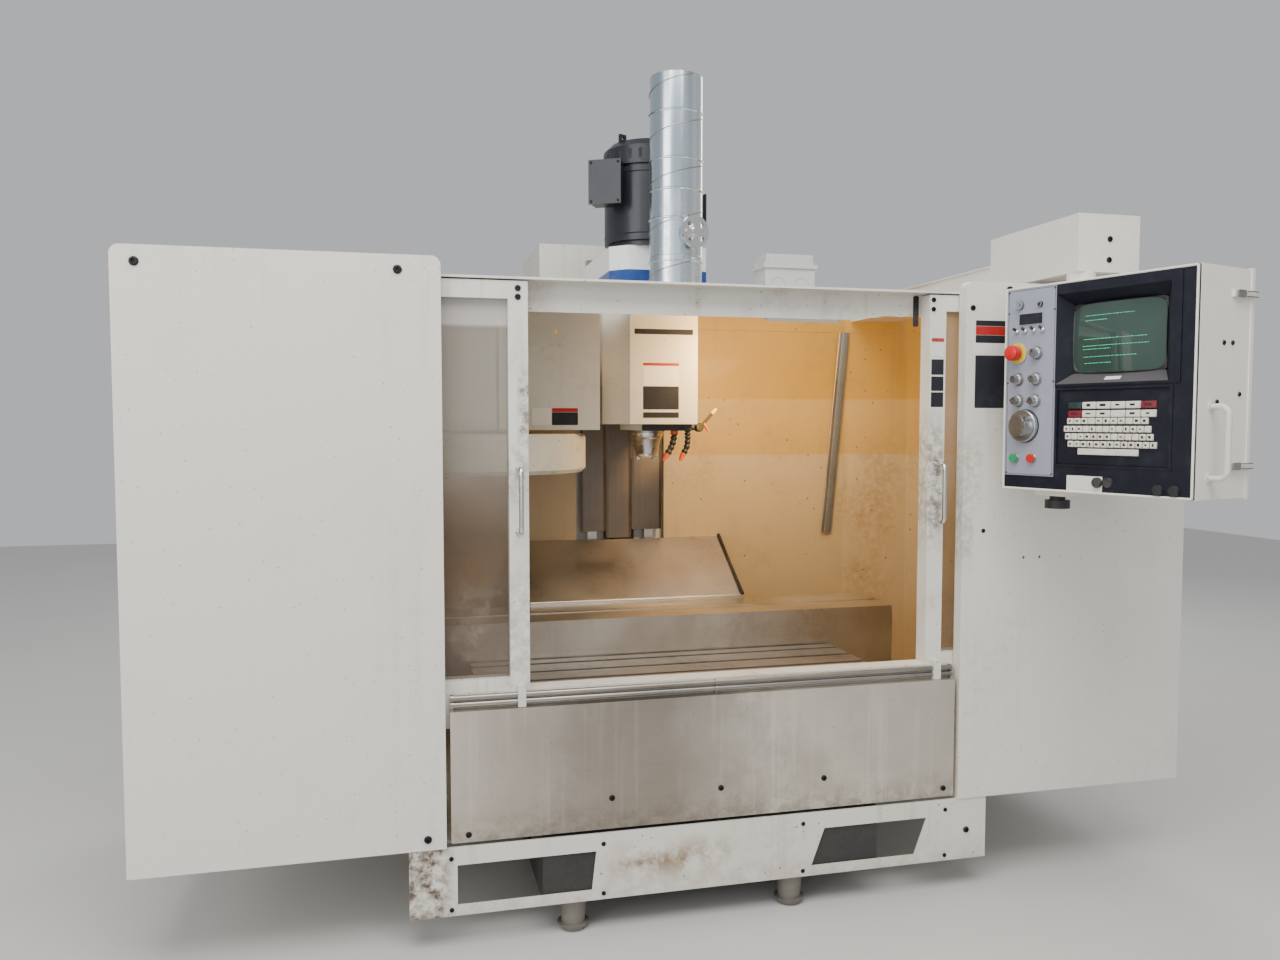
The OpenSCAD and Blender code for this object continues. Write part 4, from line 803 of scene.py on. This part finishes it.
def duct_fittings():
    """The lock seam winds up the duct as a helix, and a band with one screw clamps it."""
    foot, top, pitch, radius = 1.706, 2.366, 0.137, 0.0802
    z = np.linspace(foot, top, 460)
    a = (z - foot) / pitch * 2 * math.pi
    path = np.stack([DUCT_AXIS[0] + radius * np.cos(a), DUCT_AXIS[1] + radius * np.sin(a), z], -1)
    piece("duct_seam", [tube(at(path), 0.0016, 6)], "machine", BAR_STEEL)
    band = turned([(0.0803, 1.815), (0.0822, 1.817), (0.0822, 1.833), (0.0803, 1.835)], at(DUCT_AXIS), UP, 64)
    screw = socket_screw(at((0.045, 0.396, 1.825)), (0.4, -0.9, 0), 0.006)
    piece("duct_clamp", [band, screw], "machine", ZINC)


def motor_fittings():
    """Black pads as painted shade in the cowl's slots, two raised bands, and screws at the corners of its box lids."""
    # Each slot is a thin black pad: painted shade where the cowl is open.
    slots = []
    for a in angles(28):
        out = np.array((math.cos(a), math.sin(a), 0))
        place = MOTOR_AXIS + 0.1528 * out + (0, 0, 2.186)
        slots.append(pad(place, np.cross(UP, out), UP, 0.01, 0.03, 0.0012, corner=0.004))
    piece("cowl_slots", slots, "head", RUBBER)
    bands = [turned([(0.15, z), (0.1518, z + 0.002), (0.15, z + 0.004)], at(MOTOR_AXIS), UP, 64)
             for z in (1.935, 2.128)]
    piece("motor_bands", bands, "head", MOTOR)
    # Each lid: the way it faces in degrees, its distance from the axis, and where its screws are across and up
    lids = ((-118, 0.192, (-0.144, -0.056), (2.032, 2.152)), (8, 0.172, (-0.064, 0.024), (1.956, 2.079)))
    corners = []
    for way, reach, across, heights in lids:
        out = np.array((math.cos(math.radians(way)), math.sin(math.radians(way)), 0))
        side = np.cross(UP, out)
        corners += [(MOTOR_AXIS + reach * out + a * side + (0, 0, z), out) for a in across for z in heights]
    piece("lid_screws", [socket_screw(at(p), out, 0.0045) for p, out in corners], "head", OXIDE)


def guard_stripe():
    """A film around the belt guard's lower edge: its plan outline, carried up by the film's width."""
    plan = np.array([(-0.15, 0.69), (-0.1, 0.64), (0.16, 0.64), (0.16, 1.15), (-0.15, 1.15)])
    middle = plan.mean(0)
    rings = []
    for growth, z in ((1, 1.786), (1.004, 1.787), (1.004, 1.823), (1, 1.824)):
        rings.append(at(np.column_stack([middle + (plan - middle) * growth, np.full(len(plan), z)])))
    piece("guard_stripe", [loft(rings)], "head", BLUE_STRIPE, smooth=False)


def jointed_hose(path, links, radius):
    """Coolant hose of ball-jointed links: each link swells from a narrow neck to a wide cup."""
    t = np.linspace(0, 1, links * 6 + 1)
    s = np.linspace(0, 1, len(path))
    points = np.stack([np.interp(t, s, line) for line in path.T], -1)
    phase = np.mod(t * links, 1.0)
    return tube(at(points), radius * (0.72 + 0.28 * np.sin(math.pi * np.clip(phase * 1.2, 0, 1))), 14)


def coolant_fittings():
    """Two jointed hoses and their nozzles from the bar under the head, and the valve at its right end."""
    far, thick = 0.67, 0.026
    bar = front_pad((-0.04, 0.124), (1.308, 1.33), far + thick, thick, corner=0.004, edge=0.002)
    bends = (((0.066, 1.312), (0.066, 1.297), (0.063, 1.275), (0.055, 1.252), (0.041, 1.229)),
             ((0.112, 1.312), (0.112, 1.297), (0.1125, 1.277), (0.109, 1.254), (0.097, 1.23)))
    paths = [curve_through([(x, HOSE_DEPTH, z) for x, z in bend], 36) for bend in bends]
    hoses = [jointed_hose(path, 6, radius) for path, radius in zip(paths, (0.0115, 0.0105))]
    valve = turned([(0.008, 0.118), (0.0105, 0.12), (0.0105, 0.128), (0.008, 0.136)],
                   at((0, HOSE_DEPTH, VALVE_Z)), ALONG_X, 20)
    cock = turned([(0.0135, 0.671), (0.015, 0.673), (0.015, 0.693), (0.012, 0.695)],
                  at((VALVE_X, 0, VALVE_Z)), ALONG_Y, 28)
    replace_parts(piece("coolant_manifold", [bar, *hoses, valve, cock], "head", BLACK), "coolant_hoses")
    nozzle = [(0.0095, -0.004), (0.0088, 0.004), (0.005, 0.024), (0.0035, 0.024)]
    tips = [turned(nozzle, at(path[-1]), path[-1] - path[-4], 16) for path in paths]
    collar = [(0.0118, 0), (0.0125, 0.002), (0.0125, 0.008), (0.0118, 0.01)]
    tips.append(turned(collar, at((0.066, HOSE_DEPTH, 1.297)), UP, 20))
    piece("coolant_tips", tips, "head", ORANGE)
    # The cock's dark arm ends in a yellow cap, with a short orange spur below it
    arm, spur = (np.array((math.cos(a), 0, math.sin(a))) for a in (math.radians(48), math.radians(-58)))
    pivot = np.array((VALVE_X, 0.6665, VALVE_Z))
    cap = tube(at([pivot + k * arm for k in (0.06, 0.068, 0.078, 0.084)]), (0.0062, 0.007, 0.005, 0.0025), 14)
    piece("lever_cap", [cap], "coolant_lever", YELLOW)
    root = pivot + 0.018 * arm
    stub = tube(at([root + k * spur for k in (0.0, 0.01, 0.022, 0.03)]), (0.005, 0.005, 0.0042, 0.0025), 14)
    piece("lever_spur", [stub], "coolant_lever", ORANGE)


def spindle_fittings():
    """The ground ring of the spindle's shoulder, the rim of its nose, and the flange that it turns in."""
    axis = at(SPINDLE_AXIS)
    rings = [turned([(r, z), (r + 0.0012, z + 0.001), (r + 0.0012, z + h - 0.001), (r, z + h)], axis, UP, 64)
             for r, z, h in ((0.055, 1.29, 0.012), (0.037, 1.2225, 0.006))]
    piece("nose_ring", rings, "spindle", CHROME)
    flange = turned([(0.07, 1.3088), (0.088, 1.3092), (0.0885, 1.3098), (0.0885, 1.3105)], axis, UP, 64)
    piece("quill_flange", [flange], "head", GROUND)


# ---- control pendant


def tube_depth(x, z):
    """Depth of the tube's glass: it falls away with the square of the distance from the middle."""
    return TUBE_FRONT + (x * x + z * z) / (2 * TUBE_RADIUS)


def around_tube(flat, depth):
    """A loop about the tube's middle, from its x and z and its depth."""
    x, z = flat.T
    return on_face(TUBE_CENTRE + np.column_stack([x, np.broadcast_to(depth, len(x)), z]))


def tube_and_gasket():
    """The tube's face, and the dark gasket from the well's mouth at the glass to the tube's outline.

    The outline is |x/a|^8 + |z/b|^8 = 1, so its sides bow out between rounded corners.
    """
    a = angles(96)
    ring = np.stack([np.cos(a), np.sin(a)], -1)
    edge = ring * np.sum(np.abs(ring / TUBE_SIZE) ** 8, axis=1, keepdims=True) ** (-1 / 8)
    depth = tube_depth(*edge.T)
    shares = (0.02, 0.15, 0.3, 0.45, 0.6, 0.72, 0.83, 0.91, 0.96, 0.99, 1.0)
    glass = [around_tube(edge * k, tube_depth(*(edge * k).T)) for k in shares]
    glass += [around_tube(edge, depth + 0.004), around_tube(edge * 0.9, 0.06)]
    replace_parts(piece("tube_face", [loft(glass)], "pendant", GLASS), "crt_screen")
    mouth = ring / np.max(np.abs(ring / (0.125, 0.088)), axis=1, keepdims=True)
    loops = [around_tube(mouth, 0.0235), around_tube(edge * 1.01, np.minimum(depth - 0.003, 0.0225)),
             around_tube(edge * 0.99, depth - 0.0008), around_tube(edge * 0.99, depth + 0.003),
             around_tube(mouth, 0.034)]
    piece("tube_gasket", [band_of(loops)], "pendant", BLACK)


def well_shelf_painted_light():
    """The well's lower side, from its mouth to its floor, paler as painted light where it faces up, and the bare plate
    on it.
    """
    slope = np.array([(0.16, -0.0108, 0.276), (0.464, -0.0108, 0.276), (0.437, 0.025, 0.303), (0.187, 0.025, 0.303)])
    inset = np.array([(0.002, 0.0002, 0.0004), (-0.002, 0.0002, 0.0004), (-0.002, 0, 0), (0.002, 0, 0)])
    shelf = loft([on_face(slope + inset), on_face(slope + inset + (0, -0.0007, 0.0009))])
    piece("well_shelf_painted_light", [shelf], "pendant", WELL_PAINTED_LIGHT, smooth=False)
    along = (slope[3] - slope[0]) * (0, 1, 1)
    along /= np.linalg.norm(along)
    bare = pad((0.312, 0.0039, 0.28814), ALONG_X, along, 0.042, 0.013, 0.0008, corner=0.002, edge=0.0003,
               place=on_face)
    piece("bare_plate", [bare], "pendant", FILM_WHITE)


def key_cap(x, z, w, h, top):
    """One key: its outline narrows from the base to a slightly smaller top."""
    rings = []
    for inset, y in ((0, -0.005), (0, -0.0082), (0.0012, top + 0.0006), (0.0018, top)):
        flat = outline(w - 2 * inset, h - 2 * inset, 0.0012, 3)
        rings.append(on_face([(x + w / 2 + a, y, z + h / 2 + b) for a, b in flat]))
    return loft(rings)


def keyboard():
    """Two rows of broad keys, four rows of small ones and a space bar, on the keyboard's base."""
    base = face_pad((0.1685, 0.4655), (0.0735, 0.2605), -0.003, 0.0022, corner=0.004)
    keys = {"ivory": [], "teal": [], "crimson": []}
    coloured = {(0, 0): "teal", (0, 5): "crimson", (1, 0): "crimson"}
    for row, z in enumerate(BROAD_ROWS):
        for i in range(6):
            key = key_cap(0.2 + i * 0.0393, z, 0.0366, 0.0172, -0.0112)
            keys[coloured.get((row, i), "ivory")].append(key)
    for x0, x1, z, count in SMALL_ROWS:
        pitch = (x1 - x0) / count
        keys["ivory"] += [key_cap(x0 + i * pitch, z, pitch - 0.0026, 0.0155, -0.011) for i in range(count)]
    keys["ivory"].append(key_cap(0.229, 0.098, 0.162, 0.016, -0.011))
    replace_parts(piece("keyboard_base", [base], "pendant", NAVY), "keyboard")
    for kind, finish in (("ivory", IVORY), ("teal", TEAL), ("crimson", CRIMSON)):
        piece(f"{kind}_keys", keys[kind], "pendant", finish)


def worn_marks():
    """Worn dark marks of uneven width and height on about three keys in four."""
    rng = np.random.default_rng(7)
    rows = [(0.2, 0.435, z + 0.009, 6, 0.45) for z in BROAD_ROWS]
    rows += [(x0, x1, z + 0.008, count, 0.42) for x0, x1, z, count in SMALL_ROWS]
    marks = []
    for x0, x1, z, count, widest in rows:
        pitch = (x1 - x0) / count
        for i in range(count):
            if rng.random() < 0.75:
                half = widest * pitch * rng.uniform(0.5, 1) / 2
                tall = rng.uniform(0.0016, 0.0036)
                x = x0 + (i + 0.47) * pitch
                marks.append(face_pad((x - half, x + half), (z - tall, z + tall), -0.0111, 0.0003, corner=0.0009,
                                      edge=0.0001))
    piece("worn_marks", marks, "pendant", RUBBER)


def screen_lines():
    """Lines of light on the tube: each line is a row of short dashes of uneven length."""
    rng = np.random.default_rng(3)
    dashes = []
    for x, end, z in ((0.222, 0.353, 0.447), (0.223, 0.285, 0.435), (0.22, 0.387, 0.388), (0.217, 0.395, 0.371),
                      (0.218, 0.298, 0.363), (0.218, 0.366, 0.344), (0.222, 0.299, 0.328)):
        while x < end:
            w = rng.uniform(0.002, 0.009)
            far = min(x + w, end + 0.003)
            depth = tube_depth((x + far) / 2 - TUBE_CENTRE[0], z - TUBE_CENTRE[2]) - 0.0001
            dashes.append(face_pad((x, far), (z - 0.0007, z + 0.0007), depth, 0.0004, corner=0.0004, edge=0.0001))
            x += w + rng.uniform(0.0015, 0.003)
    piece("screen_lines", dashes, "pendant", GREEN_LIGHT, smooth=False)


def control_fittings():
    """Trim of the control plate: display, key switch, lamp, toggles, dials and the knobs' caps."""
    out = heading(OUT)

    def standing(profile, *places, sides=32, y=FACE, way=out):
        """The same turned part at each place of the plate."""
        return [turned(profile, on_face((x, y, z)), way, sides) for x, z in places]

    disc = [(0.0275, 0), (0.0275, 0.0035), (0.026, 0.0046), (0.012, 0.0048)]
    piece("stop_disc", standing(disc, STOP, sides=48), "pendant", YELLOW)
    cap = [(0.012, 0.02), (0.0195, 0.021), (0.0205, 0.024), (0.0205, 0.03), (0.0185, 0.035), (0.013, 0.0376),
           (0.004, 0.0386)]
    piece("stop_cap", standing(cap, STOP, sides=48), "emergency_stop", RED)
    window = face_pad((0.048, 0.119), (0.4375, 0.4655), -0.0118, 0.001, corner=0.002)
    piece("display_window", [window], "pendant", FILM_BLACK)
    # The collars' darker steel is partly painted shade around the bases of the buttons and knobs.
    collars_and_shade = standing([(0.012, 0), (0.012, 0.003), (0.0105, 0.0042), (0.006, 0.0044)], *BUTTONS)
    collars_and_shade += standing([(0.0175, 0), (0.0175, 0.0012), (0.0165, 0.0016)], *SELECTORS)
    piece("control_collars", collars_and_shade, "pendant", BAR_STEEL)
    skirt = [(0.014, 0.0018, 0), (0.0152, 0.003, 0.4), (0.0146, 0.01, 1), (0.012, 0.012, 1), (0.01, 0.0235, 1),
             (0.0092, 0.0245, 0)]
    for i, (x, z) in enumerate(SELECTORS, 1):
        knob = fluted(skirt, on_face((x, FACE, z)), out, 16, 0.0012)
        line = face_pad((x - 0.001, x + 0.001), (z + 0.001, z + 0.0085), FACE - 0.0243, 0.0006, corner=0.0005,
                        edge=0.0002)
        piece(f"knob_skirt_{i}", [knob], f"selector_{i}", KNOB_METAL)
        piece(f"knob_line_{i}", [line], f"selector_{i}", OXIDE)
    rim = [(0.04, 0.003, 0), (0.0432, 0.0045, 1), (0.0432, 0.0125, 1), (0.0405, 0.0142, 0), (0.03, 0.0145, 0),
           (0.0275, 0.015, 0), (0.0262, 0.03, 0), (0.0235, 0.0345, 0), (0.012, 0.0352, 0)]
    wheel = fluted(rim, on_face((WHEEL[0], FACE, WHEEL[1])), out, 48, 0.0009, 192)
    piece("wheel_rim", [wheel], "jog_handwheel", KNOB_METAL)
    dial = [(0.0445, 0.0), (0.0445, 0.0018), (0.043, 0.0024), (0.02, 0.0025)]
    piece("wheel_dial", standing(dial, WHEEL, sides=64), "pendant", FILM_BLACK)
    nut = [(0.0062, 0), (0.0062, 0.002), (0.0048, 0.0032), (0.003, 0.006)]
    piece("toggle_nuts", standing(nut, *TOGGLES, sides=18, y=-0.0135), "pendant", CHROME)
    lean = math.radians(24)
    slope = heading((0, -math.cos(lean), math.sin(lean)))
    lever = [(0.0032, 0.0045), (0.0042, 0.017), (0.004, 0.0188), (0.0022, 0.0196)]
    piece("toggle_levers", standing(lever, *TOGGLES, sides=20, y=-0.009, way=slope), "pendant", BLACK)
    barrel = [(0.0122, 0), (0.0122, 0.0055), (0.0116, 0.0076), (0.007, 0.008)]
    piece("key_barrel", standing(barrel, (0.049, 0.49)), "pendant", BAR_STEEL)
    lens = [(0.0082, 0), (0.0082, 0.004), (0.0072, 0.0056), (0.003, 0.0066)]
    piece("plate_lamp", standing(lens, (0.111, 0.487), sides=28), "pendant", TEAL)
    heads = [(x, FACE + 0.0005, z, 0.0028) for x in (0.0135, 0.1545) for z in (0.525, 0.47, 0.285, 0.045)]
    screws("plate_screws", heads, "pendant", place=on_face)
    border = [face_pad(x, z, FACE + 0.0002, 0.0005, corner=0.0003, edge=0.0001) for x, z in (
        ((0.0125, 0.0135), (0.042, 0.528)), ((0.1545, 0.1555), (0.042, 0.528)),
        ((0.0125, 0.1555), (0.0415, 0.0425)), ((0.0125, 0.1555), (0.5275, 0.5285)))]
    piece("plate_border", border, "pendant", FILM_BLACK, smooth=False)


def pendant_fittings():
    """Card, knobs on the lower border, side screws, latches and the lip of the housing."""
    card = face_pad((0.199, 0.299), (0.005, 0.045), BEZEL, 0.0008, corner=0.002)
    piece("blank_card", [card], "pendant", FILM_WHITE)
    profile = [(0.013, 0), (0.013, 0.006), (0.0115, 0.009), (0.004, 0.0095)]
    knobs = [turned(profile, on_face((x, BEZEL - d, z)), heading(OUT), 28)
             for x, z, d in ((0.287, 0.03, 0.0008), (0.317, 0.031, 0), (0.445, 0.02, 0), (0.484, 0.02, 0))]
    piece("border_knobs", knobs, "pendant", BLACK)
    sides = ((0.095, 0.363), (0.131, 0.364), (0.166, 0.245), (0.073, 0.226))
    screws("housing_screws", [(0.528, y, z, 0.006) for y, z in sides], "pendant", ALONG_X, on_face)
    hooks = []
    for z in (0.076, 0.478):
        hooks.append(pad((0.5345, 0.15, z), ALONG_Y, UP, 0.034, 0.018, 0.004, corner=0.004, place=on_face))
        for bar in (z - 0.006, z + 0.006):
            hooks.append(tube(on_face([(0.54, 0.168, bar), (0.5425, 0.19, bar), (0.541, 0.211, bar)]), 0.0016, 8))
    piece("latch_links", hooks, "pendant", BAR_STEEL)
    left, right, low, high, y = 0.004, 0.524, 0.0035, 0.5345, -0.0085
    edges = ([(x, y, low) for x in (left, 0.26, right)], [(right, y, z) for z in (low, 0.27, high)],
             [(x, y, high) for x in (right, 0.26, left)], [(left, y, z) for z in (high, 0.27, low)])
    piece("housing_lip", [tube(on_face(edge), 0.003, 8) for edge in edges], "pendant", HOUSING)


enclosure_screws()
enclosure_trim()
wall_lip()
work_lamp()
plates()
duct_fittings()
motor_fittings()
guard_stripe()
coolant_fittings()
spindle_fittings()
tube_and_gasket()
well_shelf_painted_light()
keyboard()
worn_marks()
screen_lines()
control_fittings()
pendant_fittings()


# ---- camera, floor and light


def lamp(name, place, aim, power, size, colour):
    """A rectangular light at a place, turned so that it looks at aim."""
    data = bpy.data.lights.new(name, "AREA")
    data.energy, data.color = power, colour
    data.shape, data.size, data.size_y = "RECTANGLE", *size
    obj = bpy.data.objects.new(name, data)
    bpy.context.scene.collection.objects.link(obj)
    obj.location = place
    obj.rotation_euler = (Vector(aim) - Vector(place)).to_track_quat("-Z", "Y").to_euler()


def studio():
    """A pale floor, an even grey sky, four soft lights around the machine and two warm ones inside it."""
    material, tree = start("floor_finish", 0.6)
    dress(material, mix(tree, noise(tree, 1.2), (0.56, 0.55, 0.53), (0.62, 0.61, 0.59)))
    half = 9.0
    mesh = bpy.data.meshes.new("floor")
    mesh.from_pydata([(-half, -half, 0), (half, -half, 0), (half, half, 0), (-half, half, 0)], [], [(0, 1, 2, 3)])
    mesh.materials.append(material)
    floor = bpy.data.objects.new("floor", mesh)
    bpy.context.scene.collection.objects.link(floor)

    world = bpy.data.worlds.new("sky")
    world.use_nodes = True
    sky = world.node_tree.nodes["Background"]
    sky.inputs["Color"].default_value = (0.86, 0.87, 0.9, 1)
    sky.inputs["Strength"].default_value = 0.62
    bpy.context.scene.world = world

    lamp("overhead_light", (-0.6, -2.6, 4.4), (0, 0.2, 1.0), 190, (3.6, 2.4), (1.0, 0.98, 0.95))
    lamp("left_light", (-4.2, -3.2, 2.6), (0, 0, 1.1), 90, (2.6, 2.6), (0.95, 0.97, 1.0))
    lamp("rear_light", (2.6, 4.2, 3.8), (0, 0.4, 1.2), 110, (3.0, 2.4), (1.0, 0.98, 0.96))
    lamp("front_light", (-1.4, -5.2, 2.0), (0, 0, 1.2), 30, (4.0, 2.4), (1.0, 0.99, 0.97))
    lamp("work_light", at((0.34, 0.33, 1.575)), at((0.5, 1.2, 1.5)), 10, (0.2, 0.06), (1.0, 0.62, 0.25))
    lamp("cavity_light", at((0.4, 0.46, 1.59)), at((0.4, 0.76, 0.6)), 3.5, (0.6, 0.24), (1.0, 0.7, 0.36))

    data = bpy.data.cameras.new("camera")
    data.sensor_width, data.lens = 36.0, 28.125
    camera = bpy.data.objects.new("camera", data)
    camera.location = at((-0.82, -2.5, 1.33))
    camera.rotation_euler = (math.radians(86.8), 0, math.radians(-13.6))
    bpy.context.scene.collection.objects.link(camera)
    bpy.context.scene.camera = camera


studio()
